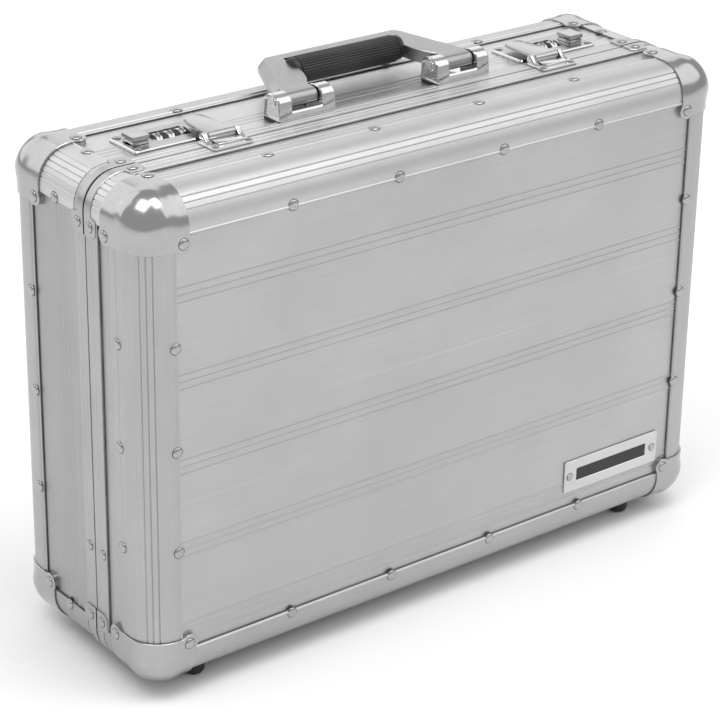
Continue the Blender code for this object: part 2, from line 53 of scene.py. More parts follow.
# Lengths below are in millimetres, depths are measured back from the front face, and the case's
# outline comes from the CAD nodes.
MM = 0.001


def cad(node):
    low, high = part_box(node)
    return low / MM, high / MM


SIDE = cad("front_edge_right")[1].x
TOP = cad("front_edge_top")[1].z
BOTTOM = cad("front_edge_bottom")[0].z
FRONT = cad("front_edge_top")[0].y
BACK = cad("rear_edge_top")[1].y
MID_Z = (TOP + BOTTOM) / 2
HINGE = Vector(JOINT["lid_hinge"]["pos_m"]) / MM
LID_LEG = cad("front_edge_top")[1].y - FRONT
BACK_LEG = BACK - cad("rear_edge_top")[0].y
FACE_LEG = TOP - cad("front_edge_top")[0].z
PROFILE_X = cad("front_edge_top")[1].x
EDGE_R = 22.0  # outside radius of every rounded edge
SHEET = 1.5  # thickness of the profiles
WALL = cad("front_panel")[0].y - FRONT
WALL_IN = cad("front_panel")[1].y - FRONT
RIVET_ROW = 23.6  # rivets along the profiles, in from the outline
CAP_ROW = 29.6  # rivets of the caps and seam brackets, in from the outline
CAP_ROW_DEPTH = 35.5  # rivets of the caps, in from the front or the back
SIDES = (("left", -1), ("right", 1))
LEVELS = (("top", 1), ("bottom", -1))
CORNERS = [(level, side, sx, sz) for level, sz in LEVELS for side, sx in SIDES]


def at_front(depth):
    return FRONT + depth


def pivot(joint):
    return Vector(JOINT[joint]["pos_m"]) / MM


def mirrored(sx, near, far):
    """The same stretch of X on the left (sx = -1) or the right, lowest first."""
    return sorted((sx * near, sx * far))


# ---- materials


class Nodes:
    """A short way to write a node tree."""

    def __init__(self, name):
        self.material = bpy.data.materials.new(name)
        self.material.use_nodes = True
        self.tree = self.material.node_tree
        self.shader = self.tree.nodes["Principled BSDF"]
        self.place = self.node("ShaderNodeTexCoord").outputs["Object"]

    def node(self, kind, **settings):
        made = self.tree.nodes.new(kind)
        for key, value in settings.items():
            setattr(made, key, value)
        return made

    def link(self, source, target):
        self.tree.links.new(source, target)

    def feed(self, socket, value):
        """Gives a socket a number, a colour or another node's output."""
        if isinstance(value, (int, float)):
            socket.default_value = value
        elif isinstance(value, tuple):
            socket.default_value = (*value, 1)
        else:
            self.link(value, socket)

    def noise(self, scale, detail=3.0, rough=0.55):
        """Noise stretched by scale, a repeat count per metre along each axis."""
        mapping = self.node("ShaderNodeMapping")
        mapping.inputs["Scale"].default_value = scale
        self.link(self.place, mapping.inputs["Vector"])
        noise = self.node("ShaderNodeTexNoise")
        noise.inputs["Scale"].default_value = 1.0
        noise.inputs["Detail"].default_value = detail
        noise.inputs["Roughness"].default_value = rough
        self.link(mapping.outputs["Vector"], noise.inputs["Vector"])
        return noise.outputs["Fac"]

    def ranged(self, value, low, high, source=(0.3, 0.7)):
        made = self.node("ShaderNodeMapRange")
        self.link(value, made.inputs["Value"])
        made.inputs["From Min"].default_value, made.inputs["From Max"].default_value = source
        made.inputs["To Min"].default_value, made.inputs["To Max"].default_value = low, high
        return made.outputs["Result"]

    def maths(self, operation, one, two):
        made = self.node("ShaderNodeMath", operation=operation)
        for socket, value in zip(made.inputs, (one, two)):
            self.feed(socket, value)
        return made.outputs["Value"]

    def mix(self, factor, one, two):
        made = self.node("ShaderNodeMix", data_type="RGBA")
        for socket, value in ((made.inputs[0], factor), (made.inputs[6], one), (made.inputs[7], two)):
            self.feed(socket, value)
        return made.outputs[2]

    def bump(self, height, distance):
        made = self.node("ShaderNodeBump")
        made.inputs["Distance"].default_value = distance * MM
        self.link(height, made.inputs["Height"])
        return made.outputs["Normal"]

    def finish(self, colour, roughness, normal=None, metallic=1.0, **constants):
        """Wires up the shader; constants are its other inputs, with _ for a space."""
        self.link(colour, self.shader.inputs["Base Color"])
        self.link(roughness, self.shader.inputs["Roughness"])
        if normal:
            self.link(normal, self.shader.inputs["Normal"])
        self.shader.inputs["Metallic"].default_value = metallic
        for key, value in constants.items():
            self.shader.inputs[key.replace("_", " ")].default_value = value
        return self.material


def metal(name, tone, roughness, grain, grain_depth=0.02, spread=0.10, blotch=0.05, tint=(1, 1, 1)):
    """Metal with directional grain, soft handling marks, sparse scratches and slow tone changes."""
    n = Nodes(name)
    fine = n.noise(grain, detail=4.0, rough=0.65)
    slow = n.noise((9, 9, 9), detail=2.0)
    marks = n.noise((45, 45, 45), detail=5.0, rough=0.7)
    scratch = n.noise(tuple(count * 0.35 for count in grain), detail=1.0)
    dark = tuple(tone * (1 - blotch) * t for t in tint)
    light = tuple(min(1.0, tone * (1 + blotch)) * t for t in tint)
    colour = n.mix(n.ranged(slow, 0, 1), dark, light)
    streak = n.ranged(fine, 0.0, 1.0, (0.25, 0.75))
    colour = n.mix(n.maths("MULTIPLY", streak, 0.5), colour, tuple(tone * 0.88 * t for t in tint))
    scored = n.ranged(scratch, 0.0, 1.0, (0.70, 0.78))
    bright = tuple(min(1.0, tone * 1.25) * t for t in tint)
    colour = n.mix(n.maths("MULTIPLY", scored, 0.35), colour, bright)
    rough = n.ranged(fine, roughness - spread, roughness + spread)
    rough = n.maths("ADD", rough, n.ranged(marks, -0.03, 0.05))
    rough = n.maths("MAXIMUM", rough, 0.03)
    return n.finish(colour, rough, n.bump(fine, grain_depth))


GRAIN = {
    "x": (14, 2600, 2600),
    "y": (2600, 14, 2600),
    "z": (2600, 2600, 14),
    "even": (900, 900, 900),
    "soft": (260, 260, 260),
}


def profile_metals(mark, lit_and_shaded_tones):
    """Extruded aluminium for profiles that run along each axis, by axis; the tone per axis is painted
    light and shade.
    """
    return {
        axis: metal(f"aluminium_profile_{mark}{axis}", tone, 0.45, GRAIN[axis], 0.012, 0.06)
        for axis, tone in lit_and_shaded_tones.items()
    }


# Lit and shaded copies of one aluminium: the profiles along Y are painted lighter and the upright ones
# along Z darker, painted shade for the shaded side.
ALU = profile_metals("", {"x": 0.58, "y": 0.64, "z": 0.47})
# Darker copies of the profile aluminium for the profiles along the bottom.
DARKER_BOTTOM = profile_metals("worn_", {"x": 0.47, "y": 0.42})
PANEL = metal("aluminium_panel_brushed", 0.50, 0.42, (7, 1900, 1900), 0.020, 0.07)
CAP = metal("pressed_steel_cap", 0.43, 0.17, GRAIN["soft"], 0.004, 0.03, 0.04)
CHROME = metal("chrome_plate", 0.63, 0.09, GRAIN["soft"], 0.003, 0.03, 0.03)
SATIN = metal("satin_cast_metal", 0.42, 0.27, GRAIN["soft"], 0.004, 0.04)
NICKEL = metal("nickel_plate", 0.47, 0.19, (1300, 60, 1300), 0.0015, 0.02, 0.03)
RIVET = metal("rivet_steel", 0.43, 0.18, GRAIN["even"], 0.006, 0.05, 0.10, (1, 0.985, 0.96))
STEEL = metal("zinc_plated_steel", 0.58, 0.32, GRAIN["even"], 0.012, 0.08, 0.10, (1, 1, 0.98))


def rubber(name, tone, rough):
    n = Nodes(name)
    fine = n.noise((1800, 1800, 1800), detail=3.0)
    slow = n.noise((60, 60, 60), detail=3.0)
    colour = n.mix(n.ranged(slow, 0, 1), (tone, tone, tone), (tone * 1.9, tone * 1.9, tone * 2.0))
    roughness = n.ranged(fine, rough - 0.08, rough + 0.10)
    return n.finish(colour, roughness, n.bump(fine, 0.03), metallic=0.0, Specular_IOR_Level=0.45)


BLACK = rubber("black_moulded_rubber", 0.014, 0.46)
# Near-black painted shade: the dark lines at the profile legs, the hoop gaps, the cap skirts and round
# the rivets, where there is only shadow.
PAINTED_SHADE = rubber("dark_seal", 0.11, 0.75)


def fabric():
    """Close black weave with a soft nap."""
    n = Nodes("black_lining_cloth")
    waves = []
    for axis in "XYZ":
        wave = n.node("ShaderNodeTexWave", bands_direction=axis)
        wave.inputs["Scale"].default_value = 330
        wave.inputs["Distortion"].default_value = 0.6
        n.link(n.place, wave.inputs["Vector"])
        waves.append(wave.outputs["Fac"])
    weave = n.maths("ADD", n.maths("MULTIPLY", waves[0], waves[2]), n.maths("MULTIPLY", waves[1], 0.5))
    nap = n.noise((2400, 2400, 2400), detail=4.0)
    slow = n.noise((18, 18, 18), detail=3.0)
    height = n.maths("ADD", weave, n.maths("MULTIPLY", nap, 0.6))
    colour = n.mix(n.ranged(weave, 0, 1, (0.1, 1.2)), (0.010, 0.010, 0.011), (0.040, 0.040, 0.043))
    colour = n.mix(n.ranged(slow, 0, 0.35), colour, (0.055, 0.055, 0.060))
    rough = n.ranged(nap, 0.82, 0.98)
    sheen = {"Sheen_Weight": 0.35, "Sheen_Roughness": 0.5}
    return n.finish(colour, rough, n.bump(height, 0.12), metallic=0.0, **sheen)


CLOTH = fabric()


def ink(name, tone):
    n = Nodes(name)
    fine = n.noise((1500, 1500, 1500), detail=3.0)
    colour = n.mix(n.ranged(fine, 0, 1), (tone, tone, tone), (tone * 1.7, tone * 1.7, tone * 1.8))
    return n.finish(colour, n.ranged(fine, 0.35, 0.5), n.bump(fine, 0.01), metallic=0.0)


INK = ink("black_enamel", 0.012)
TAG = metal("aluminium_tag", 0.62, 0.32, GRAIN["x"], 0.010, 0.05)


# ---- mesh building


class Mesh:
    """Vertices in millimetres, with faces and their material numbers."""

    def __init__(self):
        self.points, self.faces, self.slots = [], [], []

    def add(self, ring):
        start = len(self.points)
        self.points.extend(tuple(p) for p in ring)
        return list(range(start, start + len(ring)))

    def face(self, corners, slot=0):
        self.faces.append(tuple(corners))
        self.slots.append(slot)

    def skin(self, rings, around=True, closed=False, caps=(True, True), slots=None, slot=0):
        """Faces between rings of equal length; slots maps a segment's number to a material."""
        ids = [self.add(r) for r in rings]
        count = len(ids[0])
        pairs = list(zip(ids, ids[1:]))
        if closed:
            pairs.append((ids[-1], ids[0]))
        for one, two in pairs:
            for i in range(count if around else count - 1):
                j = (i + 1) % count
                self.face((one[i], one[j], two[j], two[i]), (slots or {}).get(i, slot))
        if not closed and around:
            if caps[0]:
                self.face(ids[0][::-1], slot)
            if caps[1]:
                self.face(ids[-1], slot)
        return ids

    def prism(self, outline, place, stops, slots=None, slot=0):
        return self.skin([[place(a, b, t) for a, b in outline] for t in stops], slots=slots, slot=slot)

    def box(self, low, high, slot=0):
        low, high = Vector(low), Vector(high)
        ring = [(low.x, low.y), (high.x, low.y), (high.x, high.y), (low.x, high.y)]
        return self.prism(ring, lambda a, b, t: (a, b, t), (low.z, high.z), slot=slot)

    def turned(self, profile, centre, axis, steps=24, slot=0):
        """A solid turned about the axis through centre; profile is (distance along it, radius)."""
        n, one, two = basis(axis)
        turns = [2 * pi * i / steps for i in range(steps)]
        spokes = [one * cos(t) + two * sin(t) for t in turns]
        rings = [[Vector(centre) + n * along + s * radius for s in spokes] for along, radius in profile]
        return self.skin(rings, slot=slot)

    def loop(self, rings, slot_of=lambda k, i: 0):
        """Faces between rings and back to the first ring; slot_of(ring, segment) picks a material."""
        ids = [self.add(r) for r in rings]
        for k, one in enumerate(ids):
            two = ids[(k + 1) % len(ids)]
            for i in range(len(one)):
                j = (i + 1) % len(one)
                self.face((one[i], one[j], two[j], two[i]), slot_of(k, i))


def basis(axis):
    """The axis and two directions square to it and to each other."""
    n = Vector(axis).normalized()
    helper = Vector((0, 0, 1)) if abs(n.z) < 0.9 else Vector((1, 0, 0))
    one = n.cross(helper).normalized()
    return n, one, n.cross(one)


def arc(a, b, radius, first, last, steps):
    """Points of an arc round (a, b), both ends included."""
    turns = [first + (last - first) * i / steps for i in range(steps + 1)]
    return [(a + radius * cos(t), b + radius * sin(t)) for t in turns]


def along_x(a, b, t):
    return (t, a, b)


def raw_object(name, mesh, materials, angle=30):
    data = bpy.data.meshes.new(name)
    data.from_pydata([Vector(p) * MM for p in mesh.points], [], mesh.faces)
    for m in materials:
        data.materials.append(m)
    data.polygons.foreach_set("material_index", mesh.slots)
    bm = bmesh.new()
    bm.from_mesh(data)
    bmesh.ops.remove_doubles(bm, verts=bm.verts, dist=0.004 * MM)
    bmesh.ops.recalc_face_normals(bm, faces=bm.faces)
    bm.to_mesh(data)
    bm.free()
    data.shade_smooth()
    data.set_sharp_from_angle(angle=radians(angle))
    made = bpy.data.objects.new(name, data)
    bpy.context.scene.collection.objects.link(made)
    return made


def settle(obj):
    """Bakes the modifiers into the mesh."""
    graph = bpy.context.evaluated_depsgraph_get()
    data = bpy.data.meshes.new_from_object(obj.evaluated_get(graph))
    obj.modifiers.clear()
    obj.data = data
    data.shade_smooth()
    data.set_sharp_from_angle(angle=radians(30))
    return obj


def cut_box(obj, low, high):
    """Cuts a box-shaped opening."""
    tool = Mesh()
    tool.box(low, high)
    other = raw_object("tool", tool, [obj.data.materials[0]])
    modifier = obj.modifiers.new("opening", "BOOLEAN")
    modifier.operation, modifier.solver, modifier.object = "DIFFERENCE", "EXACT", other
    settle(obj)
    bpy.data.objects.remove(other)


def bevel(obj, width, segments=2, angle=35):
    modifier = obj.modifiers.new("edges", "BEVEL")
    modifier.width, modifier.segments = width * MM, segments
    modifier.limit_method, modifier.angle_limit = "ANGLE", radians(angle)
    return settle(obj)


def piece(obj, node, body=None):
    """Hands the object to the frame, to replace a node and ride on its body or, with None, on body."""
    if node:
        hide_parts(node)
    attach(obj, body or BODY_OF[node])
    return obj


# ---- edge profiles


GROOVE_HALF = radians(1.35)
GROOVE_DEPTH = 0.42
SLEEVE_GROOVES = (16, 26, 36, 46, 56, 66, 76)


def edge_point(radius, turn):
    return (EDGE_R + radius * cos(turn), EDGE_R + radius * sin(turn))


def grooved_arc(grooves):
    """Quarter round from the face leg to the long leg; grooves are angles from the long leg."""
    points, turn, step = [], -pi / 2, radians(4)

    def run(goal):
        count = max(1, round((turn - goal) / step))
        return arc(EDGE_R, EDGE_R, EDGE_R, turn, goal, count)[:-1] + [edge_point(EDGE_R, goal)]

    for stop in [-pi + radians(g) for g in sorted(grooves)[::-1]]:
        points += run(stop + GROOVE_HALF) + [edge_point(EDGE_R - GROOVE_DEPTH, stop)]
        turn = stop - GROOVE_HALF
    return points + run(-pi)


def edge_section(leg_a, leg_b, grooves, bead=26.7):
    """Outline of an edge profile, with the materials of the segments painted dark as shade."""
    cut, drop, shaded_up_to = 0.35, 0.45, 0.9
    points = [(leg_a - cut, -0.15), (leg_a - 0.7, -0.6), (leg_a - 1.4, -0.5), (leg_a - 1.9, 0)]
    points += grooved_arc(grooves)
    if bead:
        points += [(0, bead - 0.6), (-0.28, bead - 0.3), (-0.28, bead + 0.3), (0.1, bead + 0.7)]
        points += [(drop, bead + 1.0), (drop, leg_b - cut), (drop + cut, leg_b)]
    else:
        points += [(0, leg_b - cut), (cut, leg_b)]
    # The leg's end is painted shade up to this height: a dark line for the shadow in the gap under the
    # leg.
    points += [(shaded_up_to, leg_b)]
    dark = {len(points) - 1: 1}
    points += [(SHEET, leg_b)]
    points += arc(EDGE_R, EDGE_R, EDGE_R - SHEET, -pi, -pi / 2, 8) + [(leg_a, SHEET)]
    dark[len(points) - 1] = 1
    return points + [(leg_a, shaded_up_to), (leg_a, cut)], dark


def profile_finish(level):
    return DARKER_BOTTOM if level == "bottom" else ALU


def face_edges(prefix, face, into, leg):
    """The four profiles round the front or the back face; into points into the case."""
    points, dark = edge_section(FACE_LEG, leg, (38, 48.5, 59))
    low, high = (corner.z for corner in cad(f"{prefix}_left"))
    places = {
        "top": (lambda a, b, t: (t, face + into * b, TOP - a), -PROFILE_X, PROFILE_X, "x"),
        "bottom": (lambda a, b, t: (t, face + into * b, BOTTOM + a), -PROFILE_X, PROFILE_X, "x"),
        "left": (lambda a, b, t: (-SIDE + a, face + into * b, t), low, high, "z"),
        "right": (lambda a, b, t: (SIDE - a, face + into * b, t), low, high, "z"),
    }
    for side, (place, start, end, axis) in places.items():
        mesh = Mesh()
        mesh.prism(points, place, (start, end), dark)
        made = raw_object(f"{prefix}_profile_{side}", mesh, [profile_finish(side)[axis], PAINTED_SHADE], 16)
        piece(made, f"{prefix}_{side}")


def corner_place(sx, sz, lift=0.0):
    """Places an outline of (inset from the side, inset from the top or bottom) along Y."""
    z = TOP if sz > 0 else BOTTOM
    return lambda a, b, t: (sx * (SIDE + lift - a), t, z - sz * (b - lift))


def base_corner_profiles():
    points, dark = edge_section(FACE_LEG, FACE_LEG, SLEEVE_GROOVES, None)
    for level, side, sx, sz in CORNERS:
        node = f"base_corner_edge_{level}_{side}"
        low, high = cad(node)
        mesh = Mesh()
        mesh.prism(points, corner_place(sx, sz), (low.y, high.y), dark)
        made = raw_object(f"base_sleeve_{level}_{side}", mesh, [profile_finish(level)["y"], PAINTED_SHADE], 16)
        piece(made, node)


def lid_corner_sleeves():
    """Grooved quarter tubes between the lid's ball corners and its closing strip."""
    leg, thick, edge = 26, 1.7, 0.25
    inner = arc(EDGE_R, EDGE_R, EDGE_R - thick, -pi, -pi / 2, 12)
    outline = [(leg, edge)] + grooved_arc(SLEEVE_GROOVES) + [(edge, leg), (thick, leg)]
    outline += inner + [(leg, thick)]
    for level, side, sx, sz in CORNERS:
        mesh = Mesh()
        mesh.prism(outline, corner_place(sx, sz, 0.4), (at_front(34), at_front(50.6)))
        made = raw_object(f"lid_sleeve_{level}_{side}", mesh, [profile_finish(level)["y"]], 16)
        piece(made, None, "lid")


# ---- hoops


def rounded_loop(inset, y, steps=14):
    """The case's rounded outline at this Y, in from the outside by inset."""
    radius = max(EDGE_R - inset, 0.5)
    reach_x, reach_z = SIDE - inset - radius, (TOP - BOTTOM) / 2 - inset - radius
    ring = []
    for k, (sx, sz) in enumerate(((1, 1), (-1, 1), (-1, -1), (1, -1))):
        start = k * pi / 2
        for a, b in arc(sx * reach_x, MID_Z + sz * reach_z, radius, start, start + pi / 2, steps):
            ring.append((a, y, b))
    return ring


def hoop(name, section, node, dark=()):
    """A closed hoop round the case from (inset, distance from the front) points."""
    rings = [rounded_loop(inset, at_front(y)) for inset, y in section]

    def finish(k, i):
        ends = rings[k][i], rings[k][(i + 1) % len(rings[k])]
        upright = all(abs(p[0]) > SIDE - EDGE_R / 2 for p in ends)
        # Strips in dark get the painted shade; the upright sides get the darker aluminium, painted
        # shade for the shaded sides.
        return 1 if k in dark else 2 * upright

    mesh = Mesh()
    mesh.loop(rings, finish)
    made = raw_object(name, mesh, [ALU["x"], PAINTED_SHADE, ALU["z"]], 22)
    return piece(made, node)


def strip_groove(y):
    """A fine V groove along a closing strip."""
    return [(0.0, y - 0.45), (0.38, y), (0.0, y + 0.45)]


def lid_hoop():
    seam, strip = cad("lid_frame")[1].y - FRONT, 45.5
    near = cad("lid_frame")[0].y - FRONT
    section = [(0.5, seam), (0, seam - 0.5)]
    section += strip_groove(55.3)[::-1] + strip_groove(51.6)[::-1] + [(0, strip + 0.35), (0.3, strip)]
    section += [(1.0, strip)]
    # The seam's edge and the gap in front of the closing strip are painted shade, dark bands where only
    # shadow falls.
    dark = {0, len(section) - 1, len(section), len(section) + 1}
    section += [(2.5, strip), (2.5, strip - 0.7), (WALL, strip - 0.7)]
    for y in (40.0, 36.0):
        section += [(WALL, y + 0.5), (WALL + 0.3, y), (WALL, y - 0.5)]
    section += [(WALL, near), (WALL_IN, near), (WALL_IN, seam)]
    hoop("lid_hoop", section, "lid_frame", dark)


def base_hoop():
    tongue_near = cad("base_rim")[0].y - FRONT
    near, end = tongue_near + 4.0, 70.0
    section = [(0.5, near), (0, near + 0.5)] + strip_groove(61.8) + strip_groove(65.6)
    section += [(0, end - 0.35), (0.35, end), (SHEET, end), (SHEET, near + SHEET)]
    section += [(5.1, near + SHEET), (5.1, near + 11), (6.6, near + 11), (8.2, near + SHEET)]
    section += [(8.2, tongue_near + 0.4), (7.8, tongue_near), (7.3, tongue_near)]
    section += [(7.0, tongue_near + 0.4), (7.0, near)]
    # Its first band, at the tongue's near edge, is painted shade.
    hoop("base_hoop", section, "base_rim", {0})


# ---- sheets


RIB_PITCH = 4.7


def ribbed(low, high, centres, rise=0.30, half=1.25, steps=5):
    """(position, height) across a sheet with rounded ribs at the given centres."""
    points = [(low, 0.0)]
    for c in centres:
        points.append((c - half - 0.25, 0.0))
        for i in range(steps + 1):
            u = -1 + 2 * i / steps
            points.append((c + half * u, rise * max(0.0, cos(u * pi / 2)) ** 0.8))
        points.append((c + half + 0.25, 0.0))
    return points + [(high, 0.0)]


def sheet(name, place, across, stops, centres, material):
    """A pressed sheet: place(along, across, outwards) gives the point."""
    section = ribbed(*across, centres) + [(across[1], WALL - WALL_IN), (across[0], WALL - WALL_IN)]
    mesh = Mesh()
    mesh.skin([[place(t, c, h) for c, h in section] for t in stops])
    return raw_object(name, mesh, [material], 12)


def face_sheets():
    first, spacing = BOTTOM + 38, 56
    groups = [first + spacing * i for i in range(5)]
    centres = [g + k * RIB_PITCH for g in groups for k in (-1, 0, 1)]
    for end, face, out in (("front", FRONT + WALL, -1), ("back", BACK - WALL, 1)):
        node = f"{end}_panel"
        low, high = cad(node)

        def place(t, c, h):
            return (t, face + out * h, c)

        made = sheet(f"{end}_sheet", place, (low.z, high.z), (low.x, high.x), centres, PANEL)
        piece(made, node)


def base_sheets():
    # The top and bottom walls get a lighter tone and the side walls a darker one: painted light and
    # painted shade.
    lighter_wall_x = metal("aluminium_wall_x", 0.62, 0.38, GRAIN["x"], 0.015, 0.06)
    shaded_wall_z = metal("aluminium_wall_z", 0.41, 0.40, GRAIN["z"], 0.015, 0.06)
    centres = [at_front(y) for y in (84.0, 88.7, 93.4)]
    walls = {
        "top": (lambda t, c, h: (t, c, TOP - WALL + h), lighter_wall_x, "x"),
        "bottom": (lambda t, c, h: (t, c, BOTTOM + WALL - h), lighter_wall_x, "x"),
        "left": (lambda t, c, h: (-(SIDE - WALL + h), c, t), shaded_wall_z, "z"),
        "right": (lambda t, c, h: (SIDE - WALL + h, c, t), shaded_wall_z, "z"),
    }
    for side, (place, material, axis) in walls.items():
        node = f"base_wall_{side}"
        low, high = cad(node)
        stops = (getattr(low, axis), getattr(high, axis))
        made = sheet(f"base_sheet_{side}", place, (low.y, high.y), stops, centres, material)
        if side == "top":
            for _, sx in SIDES:  # an opening for each lock case
                xs = mirrored(sx, 137, 182)
                cut_box(made, (xs[0], at_front(80.1), TOP - 10), (xs[1], at_front(101.1), TOP + 10))
        piece(made, node)


# ---- ball corners


CAP_REACH = {"x": 34.0 - EDGE_R, "y": 40.5 - EDGE_R, "z": 34.0 - EDGE_R}
CAP_RIVET = {"x": CAP_ROW - EDGE_R, "y": CAP_ROW_DEPTH - EDGE_R, "z": CAP_ROW - EDGE_R}
CAP_LIFT = 1.25  # how far a cap stands off the case
LUG_R = 6.2
QUARTER = EDGE_R * pi / 4


def cap_edge(theta, reach, rivet):
    """Distance from the cap's tip to its outline, at this angle of a patch."""
    dx, dy = cos(theta), sin(theta)
    corner = 5.0
    far = min((r + QUARTER) / d for r, d in zip(reach, (dx, dy)) if d > 1e-6)
    centre = (reach[0] - corner, reach[1] - corner)
    if far * dx - QUARTER > centre[0] and far * dy - QUARTER > centre[1]:
        far = ray_circle(dx, dy, centre, corner) or far
    return max(far, ray_circle(dx, dy, rivet, LUG_R) or 0.0)


def ray_circle(dx, dy, centre, radius):
    """Distance from the tip along (dx, dy) to the far side of a circle, or None."""
    fx, fy = -QUARTER - centre[0], -QUARTER - centre[1]
    b = fx * dx + fy * dy
    reach = b * b - (fx * fx + fy * fy - radius * radius)
    return -b + sqrt(reach) if reach > 0 else None


def smooth(t):
    """An even S-shaped rise from 0 to 1."""
    t = min(1.0, max(0.0, t))
    return t * t * (3 - 2 * t)


def ball_corner(node, sx, sy, sz):
    """Pressed cap: a dome over the corner's tip that runs out into three riveted petals."""
    out = {"x": Vector((sx, 0, 0)), "y": Vector((0, sy, 0)), "z": Vector((0, 0, sz))}
    face_y, face_z = (FRONT if sy < 0 else BACK), (TOP if sz > 0 else BOTTOM)
    centre = Vector((sx * (SIDE - EDGE_R), face_y - sy * EDGE_R, face_z - sz * EDGE_R))
    per_patch = 44
    spokes = []
    for n, e1, e2 in (("y", "x", "z"), ("x", "z", "y"), ("z", "y", "x")):
        reach, rivet_at = (CAP_REACH[e1], CAP_REACH[e2]), (CAP_RIVET[e1], CAP_RIVET[e2])
        for j in range(per_patch):
            theta = pi / 2 * j / per_patch
            spokes.append((out[n], out[e1], out[e2], theta, cap_edge(theta, reach, rivet_at)))

    def surface(spoke, share, lift):
        n, e1, e2, theta, edge = spoke
        u, v = -QUARTER + share * edge * cos(theta), -QUARTER + share * edge * sin(theta)
        alpha, beta = max(0.0, -u) / EDGE_R, max(0.0, -v) / EDGE_R
        direction = (n + e1 * tan(alpha) + e2 * tan(beta)).normalized()
        along = share * edge
        dome = 1.15 * (1 - smooth((along - 12) / 13))
        return centre - e1 * max(0.0, u) - e2 * max(0.0, v) + direction * (EDGE_R + lift + dome)

    stations = [((i + 1) / 22 * 0.985, CAP_LIFT) for i in range(21)]
    stations += [(0.992, CAP_LIFT), (1.0, 0.95), (1.0, 0.25), (0.985, 0.2), (0.985, -0.25)]
    stations += [(0.992, -0.3), (0.992, -1.7)]
    mesh = Mesh()
    rings = [[surface(spoke, *station) for spoke in spokes] for station in stations]
    ids = mesh.skin(rings, caps=(False, False))
    # A thin band of the skirt, just under the lip, is painted shade: the dark gap line round the cap.
    mesh.slots[-3 * len(spokes) : -2 * len(spokes)] = [1] * len(spokes)
    tip = mesh.add([surface(spokes[0], 0.0, CAP_LIFT)])[0]
    for i, corner in enumerate(ids[0]):
        mesh.face((tip, corner, ids[0][(i + 1) % len(ids[0])]))
    made = raw_object(node.replace("corner", "cap"), mesh, [CAP, PAINTED_SHADE], 40)
    piece(made, node)


def ball_corners():
    for end, sy in (("front", -1), ("rear", 1)):
        for level, side, sx, sz in CORNERS:
            ball_corner(f"{end}_corner_{level}_{side}", sx, sy, sz)


# ---- seam brackets


STRIP_LIFT = 0.95  # how far a bracket's face stands off the profiles
LUG_START, LUG_END, LUG_CUT = 23.0, 36.2, 3.2  # a lug's ends and its cut corner


def bracket_section(seam, edge, bead):
    """(y, lift) across a bracket from its edge at the seam to its outer edge."""
    way = 1 if edge > seam else -1
    if bead:
        points = [(seam, -0.1), (seam, 1.0), (seam + way * 0.25, 1.3), (seam + way * 0.9, 1.3)]
        points += [(seam + way * 1.25, STRIP_LIFT)]
    else:
        points = [(seam, -0.1), (seam, 0.6), (seam + way * 0.35, STRIP_LIFT)]
    return points + [(edge - way * 0.45, STRIP_LIFT), (edge, 0.6), (edge, -0.1)]


def seam_brackets():
    """Strips that wrap the rim's rounded corners and widen into a riveted lug at each end."""
    for body, seam, strip, lug in (("lid", 57.9, 50.8, 46.0), ("root", 58.9, 65.6, 72.4)):
        way = 1 if lug > seam else -1
        leg = [(LUG_START - 1.0, strip), (LUG_START, strip), (LUG_START + 1.6, lug)]
        leg += [(LUG_END - LUG_CUT * 0.8, lug), (LUG_END, lug - way * LUG_CUT)]
        stations = [("across", inset, edge) for inset, edge in reversed(leg)]
        stations += [("round", pi / 2 * i / 14, strip) for i in range(15)]
        stations += [("upright", inset, edge) for inset, edge in leg]
        for level, side, sx, sz in CORNERS:
            z_face = TOP if sz > 0 else BOTTOM
            cx, cz = sx * (SIDE - EDGE_R), z_face - sz * EDGE_R

            def place(kind, value, y, lift):
                if kind == "across":
                    return (sx * (SIDE - value), y, z_face + sz * lift)
                if kind == "upright":
                    return (sx * (SIDE + lift), y, z_face - sz * value)
                radius = EDGE_R + lift
                return (cx + sx * radius * sin(value), y, cz + sz * radius * cos(value))

            rings = []
            for kind, value, edge in stations:
                section = bracket_section(seam, edge, body == "root")
                rings.append([place(kind, value, at_front(y), lift) for y, lift in section])
            mesh = Mesh()
            mesh.skin(rings)
            made = raw_object(f"seam_bracket_{body}_{level}_{side}", mesh, [SATIN], 30)
            piece(made, None, body)


# ---- rivets


def rivet(mesh, centre, axis, radius=3.5, height=1.35):
    """A domed head with a small dimple, on a ring painted dark (material 1) as the shade round its rim.
    """
    mesh.turned([(-0.3, radius + 0.35), (0.12, radius + 0.35), (0.12, 0.02)], centre, axis, 20, 1)
    profile = [(-0.3, radius), (0.35, radius), (0.6, radius * 0.95), (height * 0.75, radius * 0.74)]
    profile += [(height * 0.94, radius * 0.5), (height, radius * 0.26), (height - 0.12, radius * 0.18)]
    profile += [(height - 0.14, 0.02)]
    mesh.turned(profile, centre, axis, 20)


def rivet_heads(name, mesh, body):
    piece(raw_object(name, mesh, [RIVET, PAINTED_SHADE], 40), None, body)


def rivet_row(name, places, axis, radius, height, body):
    """A row of rivet heads as one piece that rides on a body."""
    mesh = Mesh()
    for place in places:
        rivet(mesh, place, axis, radius, height)
    rivet_heads(name, mesh, body)


